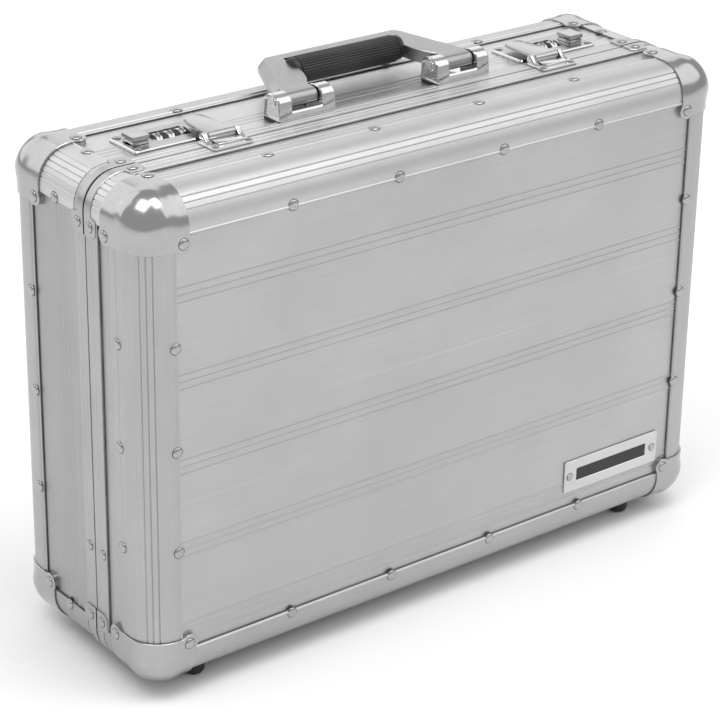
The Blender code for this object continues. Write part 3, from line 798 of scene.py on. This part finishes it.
def rivets():
    lid, base = Mesh(), Mesh()
    small, cap_lift, bracket_lift = 3.1, 1.2, 0.9
    for mesh, face, out in ((lid, FRONT, -1), (base, BACK, 1)):
        inner = face - out * 26.1
        for x in (-121.8, -41.7, 41.7, 121.8):
            for z in (BOTTOM + RIVET_ROW, TOP - RIVET_ROW):
                rivet(mesh, (x, face, z), (0, out, 0))
            for z, up in ((TOP, 1), (BOTTOM, -1)):
                rivet(mesh, (x, inner, z), (0, 0, up))
        for z in (MID_Z - 67.8, MID_Z, MID_Z + 67.8):
            for _, sx in SIDES:
                rivet(mesh, (sx * (SIDE - RIVET_ROW), face, z), (0, out, 0))
                rivet(mesh, (sx * SIDE, inner, z), (sx, 0, 0))
        cap_y = face - out * CAP_ROW_DEPTH
        seam_y = at_front(51.9 if out < 0 else 65.0)
        for _, sx in SIDES:
            for z_face, sz in ((TOP, 1), (BOTTOM, -1)):
                x, z = sx * (SIDE - CAP_ROW), z_face - sz * CAP_ROW
                rivet(mesh, (x, face + out * cap_lift, z), (0, out, 0))
                rivet(mesh, (x, cap_y, z_face + sz * cap_lift), (0, 0, sz))
                rivet(mesh, (sx * (SIDE + cap_lift), cap_y, z), (sx, 0, 0))
                rivet(mesh, (x, seam_y, z_face + sz * bracket_lift), (0, 0, sz), small)
                rivet(mesh, (sx * (SIDE + bracket_lift), seam_y, z), (sx, 0, 0), small)
                if mesh is base:
                    y = at_front(92.0)
                    rivet(mesh, (sx * (SIDE - RIVET_ROW), y, z_face), (0, 0, sz))
                    rivet(mesh, (sx * SIDE, y, z_face - sz * RIVET_ROW), (sx, 0, 0))
    for side, sx in SIDES:
        for mesh, part in ((base, "base"), (lid, "lid")):
            p = pivot(f"stay_{part}_{side}_pivot")
            rivet(mesh, (sx * SIDE, p.y, p.z), (sx, 0, 0), small)
    rivet_heads("lid_rivets", lid, "lid")
    rivet_heads("base_rivets", base, "root")


# ---- handle


HANDLE = pivot("handle_pivot")
HANDLE_TILT = radians(5)


def tilted(obj):
    """Tips a handle piece, drawn level with its pivot, up to where the handle rests."""
    about = Matrix.Translation(HANDLE * MM)
    obj.data.transform(about @ Matrix.Rotation(HANDLE_TILT, 4, "X") @ about.inverted())
    return obj


def shrunk(outline, centre, amount):
    """The outline pulled in towards a centre by a fixed distance."""
    made = []
    for a, b in outline:
        d = Vector((a - centre[0], b - centre[1]))
        d = d * max(0.05, 1 - amount / max(d.length, amount))
        made.append((centre[0] + d.x, centre[1] + d.y))
    return made


def slices(outline, centre, stops):
    """The (y, z) outline at each (x, amount), pulled in by the amount."""
    return [[(x, a, b) for a, b in shrunk(outline, centre, amount)] for x, amount in stops]


def handle_brackets():
    y, z = HANDLE.y, HANDLE.z
    for side, _ in SIDES:
        node = f"handle_base_{side}"
        low, high = cad(node)
        centre = (low.x + high.x) / 2
        half_w, half_d, base = (high.x - low.x) / 2, (high.y - low.y) / 2, TOP + 0.3
        mesh = Mesh()
        outline = [(y + half_d, base), (y + half_d - 0.5, base + 4)]
        turns = [pi * (i + 0.3) / 14.6 for i in range(15)]
        outline += [(y + (half_d - 1.1) * cos(t), z + 0.4 + 5.8 * sin(t)) for t in turns]
        outline += [(y - half_d + 0.5, base + 4), (y - half_d, base)]
        heart = (y, z - 3)
        for end in (-1, 1):
            inner, outer = centre + end * 11.5, centre + end * (half_w - 0.2)
            stops = [(inner, 0.45), (inner + end * 0.45, 0), (outer - end * 0.9, 0)]
            stops += [(outer - end * 0.25, 0.25), (outer, 0.9), (outer, 1.6), (outer - end * 1.1, 2.0)]
            mesh.skin(slices(outline, heart, stops))
            head = [(-1.4, 3.3), (-0.7, 3.3), (-0.35, 2.9), (-0.35, 1.6), (-0.6, 1.3), (-0.6, 0.05)]
            mesh.turned(head, (outer, y, z), (end, 0, 0), 24)
        back, front = y - half_d, y + half_d - 0.5
        bar = [(back + 0.15, base), (back + 0.6, base + 4.2), (back + 1.0, base + 4.6)]
        bar += [(back + 1.7, base + 5.2), (back + 2.3, base + 2.6), (front, base + 2.2), (front, base)]
        mesh.prism(bar, along_x, (centre - 12.0, centre + 12.0))
        # A black box under the bracket's window is painted shade for its dark inside.
        shade_box_low = (centre - half_w + 1.0, at_front(70.8), TOP - 1.4)
        mesh.box(shade_box_low, (centre + half_w - 1.0, y + half_d - 0.6, base + 0.2), 1)
        mesh.turned([(-20, 1.8), (20, 1.8)], (centre, y, z), (1, 0, 0), 16)
        made = raw_object(f"handle_bracket_{side}", mesh, [CHROME, BLACK], 20)
        piece(made, node)


def handle_casting():
    y, z = HANDLE.y, HANDLE.z
    mesh = Mesh()
    outer = [(73.3, 7.2), (73.9, 11.0), (73.6, 15.5), (70.0, 24.0)]
    outer += [(60.2, 46.6), (58.2, 50.8), (53.6, 55.0)]
    tops = [(72.2, 7.2), (71.6, 11.0), (70.0, 15.5), (65.6, 24.0)]
    tops += [(56.0, 47.6), (54.6, 50.6), (51.6, 53.2)]
    inner = [(41.6, 46.4), (41.8, 30.0), (43.6, 22.0), (46.8, 14.0), (51.5, 7.2)]

    def ring(edge, level, widen=0.0):
        """The handle's outline at one level; widen opens its inner edge."""
        right = [(a + widen, b) for a, b in inner]
        left = [(-a, b) for a, b in reversed(right)]
        left[0] = (left[0][0], left[0][1] - widen)
        points = edge + [(-a, b) for a, b in reversed(edge)] + left + right
        return [(a, y + b, z + level) for a, b in points]

    def trimmed(edge, side, end):
        return [(a - side, b - (end if b > 40 else 0)) for a, b in edge]

    levels = [ring(trimmed(outer, 1.2, 1.0), -4.2, 0.5), ring(outer, -2.6), ring(outer, 0.4)]
    levels += [ring(tops, 4.45), ring(trimmed(tops, 0.4, 0.35), 4.8, 0.45)]
    mesh.skin(levels)
    low, high = cad("handle_base_right")
    barrel = arc(y, z, 5.0, -pi / 2, -3 * pi / 2, 16)
    barrel += [(y + 4, z + 4.95), (y + 8.5, z + 4.8), (y + 8.5, z - 3.6), (y + 4, z - 4.8)]
    for _, sx in SIDES:
        middle = (low.x + high.x) / 2 * sx
        stops = ((-10.8, 0.5), (-10.4, 0.0), (10.4, 0.0), (10.8, 0.5))
        mesh.skin(slices(barrel, (y + 1, z), [(middle + x, amount) for x, amount in stops]))
    casting = metal("handle_cast_metal", 0.37, 0.30, GRAIN["soft"], 0.003, 0.03)
    piece(tilted(raw_object("handle_casting", mesh, [casting], 24)), "handle_frame")


def handle_rubber():
    half = cad("handle_grip")[1].x
    y, z = HANDLE.y + 36.2, HANDLE.z + 0.2
    ribs, per_rib = 30, 6
    profile = [(0, 3.0, 0), (0, 6.9, 0), (0.35, 7.7, 0), (1.0, 8.1, 0), (3.6, 8.15, 0), (3.9, 7.6, 0)]
    profile += [(4.3, 7.6, 0), (4.6, 8.1, 0.2), (5.2, 8.35, 1.0)]
    profile = [(-half + x, r, share) for x, r, share in profile]
    profile += [(-x, r, share) for x, r, share in reversed(profile)]
    turns = [2 * pi * i / (ribs * per_rib) for i in range(ribs * per_rib)]
    rings = []
    for x, r, share in profile:
        reaches = [r + 0.55 * share * (0.5 + 0.5 * cos(ribs * t)) ** 0.5 for t in turns]
        rings.append([(x, y + reach * cos(t), z + reach * sin(t)) for t, reach in zip(turns, reaches)])
    mesh = Mesh()
    mesh.skin(rings)
    piece(tilted(raw_object("handle_rubber_grip", mesh, [BLACK], 45)), "handle_grip")


# ---- locks


PLATE_TOP = TOP + 0.5
DIAL_X, HASP_X = 150, 130
DIAL_Y, DIAL_Z = pivot("dial_right_1_turn").yz
DIAL_R = (cad("dial_right_1")[1].y - cad("dial_right_1")[0].y) / 2


def rounded_rectangle(low, high, radius, steps=5):
    left, right, near, far = low[0] + radius, high[0] - radius, low[1] + radius, high[1] - radius
    points = []
    for k, centre in enumerate(((right, far), (left, far), (left, near), (right, near))):
        points += arc(*centre, radius, k * pi / 2, (k + 1) * pi / 2, steps)
    return points


def slab(mesh, low, high, radius, edge, slots=(0, 0)):
    """A plate with rounded corners and a chamfered top edge; slots are for its edge and its top."""
    base = rounded_rectangle(low, high, radius)
    inner_low, inner_high = (low[0] + edge, low[1] + edge), (high[0] - edge, high[1] - edge)
    small = rounded_rectangle(inner_low, inner_high, max(0.2, radius - edge))
    stops = ((base, low[2]), (base, high[2] - edge * 0.8), (small, high[2]))
    rings = [[(a, b, z) for a, b in ring] for ring, z in stops]
    ids = mesh.skin(rings, caps=(True, False), slot=slots[0])
    mesh.face(ids[-1], slots[1])


def lock_plate(side, sx):
    """The plate, with a window for the dials and a slot for the slide button."""
    node = f"lock_body_{side}"
    low, high = cad(node)
    mesh = Mesh()
    slab(mesh, (low.x, at_front(73.3), TOP - 1.5), (high.x, at_front(105), PLATE_TOP), 2.2, 0.9, (1, 0))
    made = raw_object(f"lock_plate_{side}", mesh, [SATIN, CHROME], 20)
    window, slot = mirrored(sx, 137.6, 162.4), mirrored(sx, 171.3, 181.4)
    cut_box(made, (window[0], DIAL_Y - 7.4, TOP - 20), (window[1], DIAL_Y + 7.4, TOP + 9))
    cut_box(made, (slot[0], at_front(85.6), TOP - 20), (slot[1], at_front(92.4), TOP + 9))
    piece(made, node)


def lock_case(side, sx):
    """The tray under the plate, with walls beside the dials and the slide."""
    mesh = Mesh()
    xs = mirrored(sx, 137.5, 181.5)
    near, far = at_front(80.6), at_front(100.6)
    floor, lip, wall = cad(f"lock_body_{side}")[0].z, TOP - 1.3, 0.7
    mesh.box((xs[0], near, floor), (xs[1], far, floor + wall))
    mesh.box((xs[0], near, floor), (xs[1], near + wall, lip))
    mesh.box((xs[0], far - wall, floor), (xs[1], far, lip))
    for x in (137.5, 163.2, 180.8):
        ends = mirrored(sx, x, x + wall)
        mesh.box((ends[0], near, floor), (ends[1], far, lip))
    made = bevel(raw_object(f"lock_case_{side}", mesh, [STEEL], 30), 0.15, 1)
    piece(made, None, "root")


def lock_spacers(side, sx):
    """The black discs between the dials, with their spindle and bed."""
    mesh = Mesh()
    radius = 6.05
    for x, half in ((138.15, 0.5), (145.65, 1.5), (154.35, 1.5), (161.7, 0.8)):
        profile = [(-half, 1.2), (-half, radius - 0.3), (-half + 0.2, radius), (-0.15, radius)]
        profile += [(0, radius - 0.5), (0.15, radius), (half - 0.2, radius), (half, radius - 0.3)]
        mesh.turned(profile + [(half, 1.2)], (sx * x, DIAL_Y, DIAL_Z), (1, 0, 0), 40)
    mesh.turned([(-12.6, 1.3), (12.6, 1.3)], (sx * DIAL_X, DIAL_Y, DIAL_Z), (1, 0, 0), 12)
    bed = mirrored(sx, 138.2, 162.2)
    mesh.box((bed[0], DIAL_Y - 7.6, TOP - 10.9), (bed[1], DIAL_Y + 7.6, TOP - 10.6))
    piece(raw_object(f"lock_spacers_{side}", mesh, [BLACK], 30), None, "root")


def lock_rivets(side, sx):
    spots = ((180.4, 100.8), (180.4, 77.3), (121.2, 101.0))
    places = [(sx * x, at_front(y), PLATE_TOP) for x, y in spots]
    rivet_row(f"lock_rivets_{side}", places, (0, 0, 1), 2.5, 1.0, "root")


def digit_mesh(number):
    """(points, faces) of a thin numeral, centred, in millimetres."""
    curve = bpy.data.curves.new("numeral", "FONT")
    curve.body, curve.size, curve.align_x, curve.align_y = str(number), 3.7, "CENTER", "CENTER"
    curve.extrude, curve.resolution_u = 0.09, 2
    holder = bpy.data.objects.new("numeral", curve)
    bpy.context.scene.collection.objects.link(holder)
    graph = bpy.context.evaluated_depsgraph_get()
    data = bpy.data.meshes.new_from_object(holder.evaluated_get(graph))
    points, faces = [v.co.copy() for v in data.vertices], [tuple(p.vertices) for p in data.polygons]
    bpy.data.objects.remove(holder)
    heights = [p.y for p in points]
    mid = (min(heights) + max(heights)) / 2
    return [Vector((p.x, p.y - mid, p.z)) for p in points], faces


NUMERALS = [digit_mesh(i) for i in range(10)]


def dial(side, number):
    """A number wheel: ten flats with a notch between them, and a numeral on each."""
    node = f"dial_{side}_{number}"
    low, high = cad(node)
    centre, half = (low.x + high.x) / 2, (high.x - low.x) / 2
    profile = [(-half, 1.75), (-half, 5.5), (-half + 0.35, DIAL_R - 0.25), (-half + 0.6, DIAL_R - 0.02)]
    profile += [(-a, r) for a, r in reversed(profile)]
    facets, per_facet = 10, 4
    step = 2 * pi / facets
    flat_share = cos(pi / facets)
    rings = []
    for along, radius in profile:
        ring = []
        for i in range(facets * per_facet):
            t = pi / 2 + 2 * pi * (i + 0.5 - per_facet / 2) / (facets * per_facet)
            local = ((t - pi / 2 + pi / facets) % step) - pi / facets
            r = radius
            if radius > 5:
                notch = 0.0 if abs(abs(local) - pi / facets) > 0.09 else -0.35
                r = min(radius, max(radius * flat_share / cos(local), radius * 0.962)) + notch
            ring.append((centre + along, DIAL_Y + r * cos(t), DIAL_Z + r * sin(t)))
        rings.append(ring)
    mesh = Mesh()
    mesh.skin(rings, closed=True)
    for k, (points, faces) in enumerate(NUMERALS):
        turn = Matrix.Rotation(-2 * pi * k / facets, 3, "X")
        start = len(mesh.points)
        for p in points:
            q = turn @ Vector((p.x, p.y, DIAL_R * flat_share + 0.02 + p.z))
            mesh.points.append((centre + q.x, DIAL_Y + q.y, DIAL_Z + q.z))
        for f in faces:
            mesh.face([start + i for i in f], 1)
    piece(raw_object(f"number_wheel_{side}_{number}", mesh, [CHROME, INK], 20), node)


def slide_button(side, sx):
    """A button with a slightly dished top, on a black washer and a chrome base."""
    node = f"slider_{side}"
    low, high = cad(node)

    def inset(amount, z):
        return (low.x + amount, low.y + amount, z), (high.x - amount, high.y - amount, z)

    mesh = Mesh()
    slab(mesh, inset(0.3, PLATE_TOP + 0.3)[0], inset(0.3, TOP + 2.7)[1], 1.4, 0.6, (1, 1))
    slab(mesh, inset(1.0, TOP + 2.5)[0], inset(1.0, TOP + 3.6)[1], 1.0, 0.1, (2, 2))
    outline = rounded_rectangle((low.x, low.y), (high.x, high.y), 1.0, 6)
    middle = ((low.x + high.x) / 2, (low.y + high.y) / 2)
    reach = (high.y - low.y) / 2

    def level(amount, z, dish=0.0):
        ring = shrunk(outline, middle, amount)
        return [(a, b, z - dish * (1 - ((b - middle[1]) / reach) ** 2)) for a, b in ring]

    top = high.z
    rings = [level(0.3, TOP + 3.3), level(0, TOP + 3.6), level(0, top - 0.6), level(0.2, top - 0.15)]
    rings += [level(0.6, top, 0.05), level(2.2, top, 0.2), level(4.0, top, 0.35), level(5.2, top, 0.4)]
    mesh.skin(rings)
    stem = mirrored(sx, 171.8, 176.8)
    mesh.box((stem[0], at_front(86), TOP - 5.5), (stem[1], at_front(92), TOP + 2), 1)
    piece(raw_object(f"slide_button_{side}", mesh, [NICKEL, CHROME, BLACK], 28), node)


def keeper_plate(side, sx):
    """The plate on the lid with the two cheeks and the pin that the hasp turns on."""
    node = f"keeper_{side}"
    low, high = cad(node)
    p = pivot(f"hasp_{side}_pivot")
    mesh = Mesh()
    slab(mesh, (low.x, low.y, TOP + 0.2), (high.x, high.y, TOP + 1.5), 1.6, 0.4)
    step = [(low.y + 3.4, TOP + 1.3), (low.y + 3.9, TOP + 2.7), (low.y + 4.9, TOP + 3.0)]
    step += [(high.y - 1.6, TOP + 3.0), (high.y - 0.4, TOP + 2.6), (high.y - 0.1, TOP + 1.3)]
    mesh.prism(step, along_x, mirrored(sx, 120.6, 139.4))
    cheek = [(p.y - 7.4, TOP + 1.2), (p.y - 0.6, p.z - 3.0)]
    cheek += arc(p.y, p.z, 2.7, -pi / 2, pi * 0.62, 14)
    cheek += [(p.y - 4.5, TOP + 3.2), (p.y - 7.2, TOP + 2.2)]
    for ends in ((116.4, 119.6), (140.4, 143.6)):
        mesh.prism(cheek, along_x, mirrored(sx, *ends))
    mesh.turned([(-13.2, 1.2), (13.2, 1.2)], (sx * HASP_X, p.y, p.z), (1, 0, 0), 16)
    made = bevel(raw_object(f"keeper_hinge_{side}", mesh, [CHROME], 30), 0.25, 2, 30)
    piece(made, node)
    places = [(sx * x, low.y + 3.2, TOP + 1.5) for x in (118.0, 142.0)]
    rivet_row(f"keeper_rivets_{side}", places, (0, 0, 1), 2.0, 0.9, "lid")


def hasp_flap(side, sx):
    """The hasp: a tapering flap with a round end, on a barrel."""
    node = f"hasp_{side}"
    p = pivot(f"hasp_{side}_pivot")
    near, far = p.y + 0.6, cad(node)[1].y
    turns = [pi / 2 * i / 6 for i in range(7)]
    outline = [(139.6, near), (137.6, far - 9.0)]
    outline += [(136.4 - 3.6 * (1 - cos(t)), far - 5.5 + 5.5 * sin(t)) for t in turns]
    outline += [(121.4 + 3.6 * (1 - sin(t)), far - 5.5 + 5.5 * cos(t)) for t in turns]
    outline += [(121.0, far - 9.0), (120.4, near)]
    outline = [(sx * a, b) for a, b in outline]
    middle = (sx * 129.5, (near + far) / 2)
    base, top = TOP + 3.6, TOP + 5.8
    stops = ((0.5, base), (0, base + 0.4), (0, top - 0.6), (0.25, top - 0.15), (0.8, top))
    mesh = Mesh()
    mesh.skin([[(a, b, z) for a, b in shrunk(outline, middle, amount)] for amount, z in stops])
    barrel = [(-9.6, 1.35), (-9.6, 2.2), (-9.3, 2.6), (9.3, 2.6), (9.6, 2.2), (9.6, 1.35)]
    mesh.turned(barrel, (sx * HASP_X, p.y, p.z), (1, 0, 0), 28)
    piece(raw_object(f"hasp_flap_{side}", mesh, [NICKEL], 26), node)


# ---- small parts


def name_tag():
    """A plain plate with a sunk dark bar."""
    low, high = cad("name_plate")

    def ring(inset_x, inset_z, radius, y):
        corners = (low.x + inset_x, low.z + inset_z), (high.x - inset_x, high.z - inset_z)
        return [(a, y, b) for a, b in rounded_rectangle(*corners, radius, 4)]

    rings = [ring(0, 0, 0.8, high.y), ring(0, 0, 0.8, low.y + 0.25), ring(0.3, 0.3, 0.6, low.y)]
    rings += [ring(10.5, 7.0, 1.2, low.y), ring(10.8, 7.3, 0.9, low.y + 0.3)]
    mesh = Mesh()
    ids = mesh.skin(rings, caps=(True, False))
    mesh.face(ids[-1], 1)
    piece(raw_object("name_tag", mesh, [TAG, INK], 20), "name_plate")
    places = [(x, low.y, (low.z + high.z) / 2) for x in (low.x + 4.6, high.x - 4.6)]
    rivet_row("name_tag_rivets", places, (0, -1, 0), 2.6, 1.0, "lid")


def feet():
    screw_head = [(1.3, 2.6), (0.9, 2.5), (0.6, 1.9), (0.5, 1.0), (0.75, 0.7), (0.75, 0.05)]
    for node in (f"foot_{end}_{side}" for end in ("front", "rear") for side, _ in SIDES):
        low, high = cad(node)
        centre, top = ((low.x + high.x) / 2, (low.y + high.y) / 2, 0), high.z
        profile = [(top, 0.1), (top, 7.5), (top - 1.2, 7.5), (top - 1.6, 7.1), (5.0, 7.0)]
        profile += [(3.0, 6.8), (1.5, 6.2), (0.6, 5.4), (0.12, 4.5), (0.0, 3.8), (0.1, 3.1)]
        foot, screw = Mesh(), Mesh()
        foot.turned(profile + [(1.4, 2.9), (1.5, 0.1)], centre, (0, 0, 1), 36)
        piece(raw_object(f"rubber_{node}", foot, [BLACK], 50), node)
        screw.turned(screw_head, centre, (0, 0, 1), 20)
        made = raw_object(node.replace("foot", "foot_screw"), screw, [STEEL], 30)
        piece(made, None, BODY_OF[node])


def stay(kind, side, sx):
    """One arm of a stay, from its pivot to the elbow, with rivet heads."""
    node = f"stay_arm_{kind}_{side}"
    start = pivot(f"stay_{kind}_{side}_pivot")
    other = pivot(f"stay_{'lid' if kind == 'base' else 'base'}_{side}_pivot")
    begin = start.yz
    elbow = begin + other.yz - HINGE.yz
    along = (elbow - begin).normalized()
    turn = atan2(along.y, along.x)
    half_width, thick, edge = 4.5, 1.3, 0.25
    outline = arc(elbow.x, elbow.y, half_width, turn - pi / 2, turn + pi / 2, 12)
    outline += arc(begin.x, begin.y, half_width, turn + pi / 2, turn + 3 * pi / 2, 12)
    depth = 9.2 if kind == "base" else 11.0
    outside, inside = sx * (SIDE - depth), sx * (SIDE - depth - thick)
    stops = ((outside, edge), (outside - sx * edge, 0), (inside + sx * edge, 0), (inside, edge))
    rings = []
    for x, amount in stops:
        ring = []
        for point in map(Vector, outline):
            nearest = begin if (point - begin).dot(along) < (elbow - begin).length / 2 else elbow
            d = point - nearest
            q = nearest + d * (1 - amount / max(d.length, 1))
            ring.append((x, q.x, q.y))
        rings.append(ring)
    mesh = Mesh()
    mesh.skin(rings)
    mesh.turned([(0.0, 3.2), (depth - 8.6 + 0.1, 3.2)], (outside, start.y, start.z), (sx, 0, 0), 20)
    head = [(-0.2, 2.6), (0.35, 2.5), (0.7, 1.9), (0.85, 0.05)]
    mesh.turned(head, (inside, start.y, start.z), (-sx, 0, 0), 20)
    if kind == "lid":
        mesh.turned(head, (inside, elbow.x, elbow.y), (-sx, 0, 0), 20)
    piece(raw_object(f"stay_link_{kind}_{side}", mesh, [STEEL], 30), node)


def hinge():
    """Rivet heads along both leaves, on the underside."""
    head = [(-0.15, 2.3), (0.1, 2.3), (0.45, 1.7), (0.6, 0.9), (0.6, 0.05)]
    for name, body, sign in (("hinge_leaf_base", "root", 1), ("hinge_leaf_lid", "lid", -1)):
        mesh = Mesh()
        for i in range(9):
            mesh.turned(head, (-160 + 40 * i, HINGE.y + sign * 11.0, BOTTOM - 1.5), (0, 0, -1), 18)
        rivet_heads(f"{name}_rivets", mesh, body)


# ---- linings


def pillow(a, b, pitch):
    """Height share of diamond quilting at a point: 0 on the stitched lines, 1 between them."""
    u, v = (a + b) / pitch, (a - b) / pitch
    return min(abs(sin(pi * u)), abs(sin(pi * v))) ** 0.6


def lining_border(kind, node, floor, into, deep, outside):
    """The padded wall round a lining: over the mouth, down the wall and round into the floor."""
    section = [(outside + 0.1, deep)]
    for i in range(1, 8):
        t = pi * i / 8
        section.append((outside + 1.6 - 1.5 * cos(t), deep - 1.2 + 1.2 * sin(t)))
    for i in range(11):
        s = i / 10
        puff = 1.1 * (4 * s * (1 - s)) ** 0.6
        section.append((outside + 2.3 + puff, deep - 1.6 - s * (deep - 11.0)))
    for i in range(1, 7):
        t = pi / 2 * i / 6
        section.append((outside + 2.5 + 8.5 * (1 - cos(t)), 11.0 - 8.5 * sin(t)))
    section += [(outside + 14.0, 2.4), (outside + 14.0, 0.2), (EDGE_R - 0.5, 0.1), (outside + 4.0, 3.0)]
    section += [(outside + 0.1, 9.0)]
    mesh = Mesh()
    mesh.loop([rounded_loop(inset, floor + into * d, 10) for inset, d in section])
    made = raw_object(f"{kind}_lining_border", mesh, [CLOTH], 60)
    if kind == "base":
        for _, sx in SIDES:
            xs = mirrored(sx, 136.5, 182.5)
            cut_box(made, (xs[0], at_front(60.6), TOP - 14), (xs[1], at_front(101.6), TOP))
    piece(made, node)


def lining_quilt(kind, floor, into, body):
    """The quilted sheet on a lining's floor."""
    half_x, half_z = SIDE - 18.0, (TOP - BOTTOM) / 2 - 18.0
    columns, lines, margin = 138, 96, 9

    def point(i, j):
        x, z = -half_x + 2 * half_x * i / columns, -half_z + 2 * half_z * j / lines
        edge = min(half_x - abs(x), half_z - abs(z))
        rim = min(1.0, max(0.0, edge / 5.0)) ** 0.5
        quilt = pillow(x, z, 44.0) if edge > margin else min(1.0, abs(edge - margin) / 4) ** 0.5
        return (x, floor + into * (0.4 + rim * (0.9 + 1.5 * quilt)), MID_Z + z)

    mesh = Mesh()
    mesh.skin([[point(i, j) for i in range(columns + 1)] for j in range(lines + 1)], around=False)
    made = raw_object(f"{kind}_lining_quilt", mesh, [CLOTH], 80)
    piece(made, None, body)


def lining(kind):
    node = f"{kind}_lining"
    low, high = cad(node)
    floor, into = (low.y, 1) if kind == "lid" else (high.y, -1)
    lining_border(kind, node, floor, into, high.y - low.y, SIDE - high.x)
    lining_quilt(kind, floor, into, BODY_OF[node])


face_edges("front_edge", FRONT, 1, LID_LEG)
face_edges("rear_edge", BACK, -1, BACK_LEG)
base_corner_profiles()
lid_corner_sleeves()
lid_hoop()
base_hoop()
face_sheets()
base_sheets()
ball_corners()
seam_brackets()
rivets()
handle_brackets()
handle_casting()
handle_rubber()
for side, sx in SIDES:
    for make in (lock_plate, lock_case, lock_spacers, lock_rivets):
        make(side, sx)
    for number in (1, 2, 3):
        dial(side, number)
    for make in (slide_button, keeper_plate, hasp_flap):
        make(side, sx)
    for kind in ("base", "lid"):
        stay(kind, side, sx)
name_tag()
feet()
hinge()
lining("lid")
lining("base")
for leaf in ("hinge_leaf_base", "hinge_leaf_lid", "hinge_pin"):
    materials = frame["nodes"][leaf].data.materials
    materials.clear()
    materials.append(STEEL)


# ---- stage, light and camera


def pale_floor():
    mesh = Mesh()
    size, steps = 6000, 10
    ticks = [-size + 2 * size * i / steps for i in range(steps + 1)]
    mesh.skin([[(x, y, 0) for x in ticks] for y in ticks], around=False)
    n = Nodes("pale_floor")
    slow = n.noise((3, 3, 3), detail=2.0)
    colour = n.mix(n.ranged(slow, 0, 1), (0.91, 0.91, 0.91), (0.93, 0.93, 0.93))
    n.finish(colour, n.ranged(slow, 0.85, 0.9), metallic=0.0)
    raw_object("floor", mesh, [n.material])


def softbox(name, direction, distance, size, power):
    """A rectangular lamp at this distance from the case's middle, facing it."""
    light = bpy.data.lights.new(name, "AREA")
    light.shape, light.size, light.size_y = "RECTANGLE", size[0], size[1]
    light.energy = power
    lamp = bpy.data.objects.new(name, light)
    d = Vector(direction).normalized()
    lamp.location = Vector((0, 0, 0.17)) + d * distance
    lamp.rotation_mode = "QUATERNION"
    lamp.rotation_quaternion = d.to_track_quat("Z", "Y")
    bpy.context.scene.collection.objects.link(lamp)


def studio_light():
    world = bpy.data.worlds.new("studio")
    bpy.context.scene.world = world
    world.use_nodes = True
    background = world.node_tree.nodes["Background"]
    background.inputs["Color"].default_value = (1, 1, 1, 1)
    background.inputs["Strength"].default_value = 0.57
    softbox("overhead_right", (0.56, -0.45, 0.70), 2.6, (2.4, 2.2), 17)
    softbox("overhead", (0.07, -0.28, 0.95), 2.6, (1.2, 1.2), 19)
    softbox("overhead_left", (-0.44, -0.10, 0.88), 2.6, (1.2, 1.2), 19)
    softbox("back", (0.55, 0.75, 0.45), 3.2, (3.2, 1.8), 14)
    softbox("back_left", (-0.35, 0.81, 0.48), 2.8, (2.4, 2.4), 17)


def camera():
    """The camera fitted to the photo; photo, focal and raised are in pixels."""
    photo, focal, raised = 720, 2485, 60
    az, el, roll = radians(-37.78), radians(23.67), radians(0.86)
    place = Vector((-926.5, -1178.5, 839.2 + BOTTOM)) * MM
    back = Vector((sin(az) * cos(el), -cos(az) * cos(el), sin(el)))
    level = Vector((cos(az), sin(az), 0))
    right = level * cos(roll) + back.cross(level) * sin(roll)
    turn = Matrix((right, back.cross(right), back)).transposed()
    data = bpy.data.cameras.new("camera")
    data.sensor_width = 36.0
    data.lens = focal / photo * data.sensor_width
    data.shift_y = -raised / photo
    data.clip_start, data.clip_end = 0.05, 50
    view = bpy.data.objects.new("camera", data)
    view.matrix_world = Matrix.Translation(place) @ turn.to_4x4()
    bpy.context.scene.collection.objects.link(view)
    bpy.context.scene.camera = view


pale_floor()
studio_light()
camera()
bpy.context.scene.view_settings.view_transform = "Standard"

bpy.context.view_layer.update()
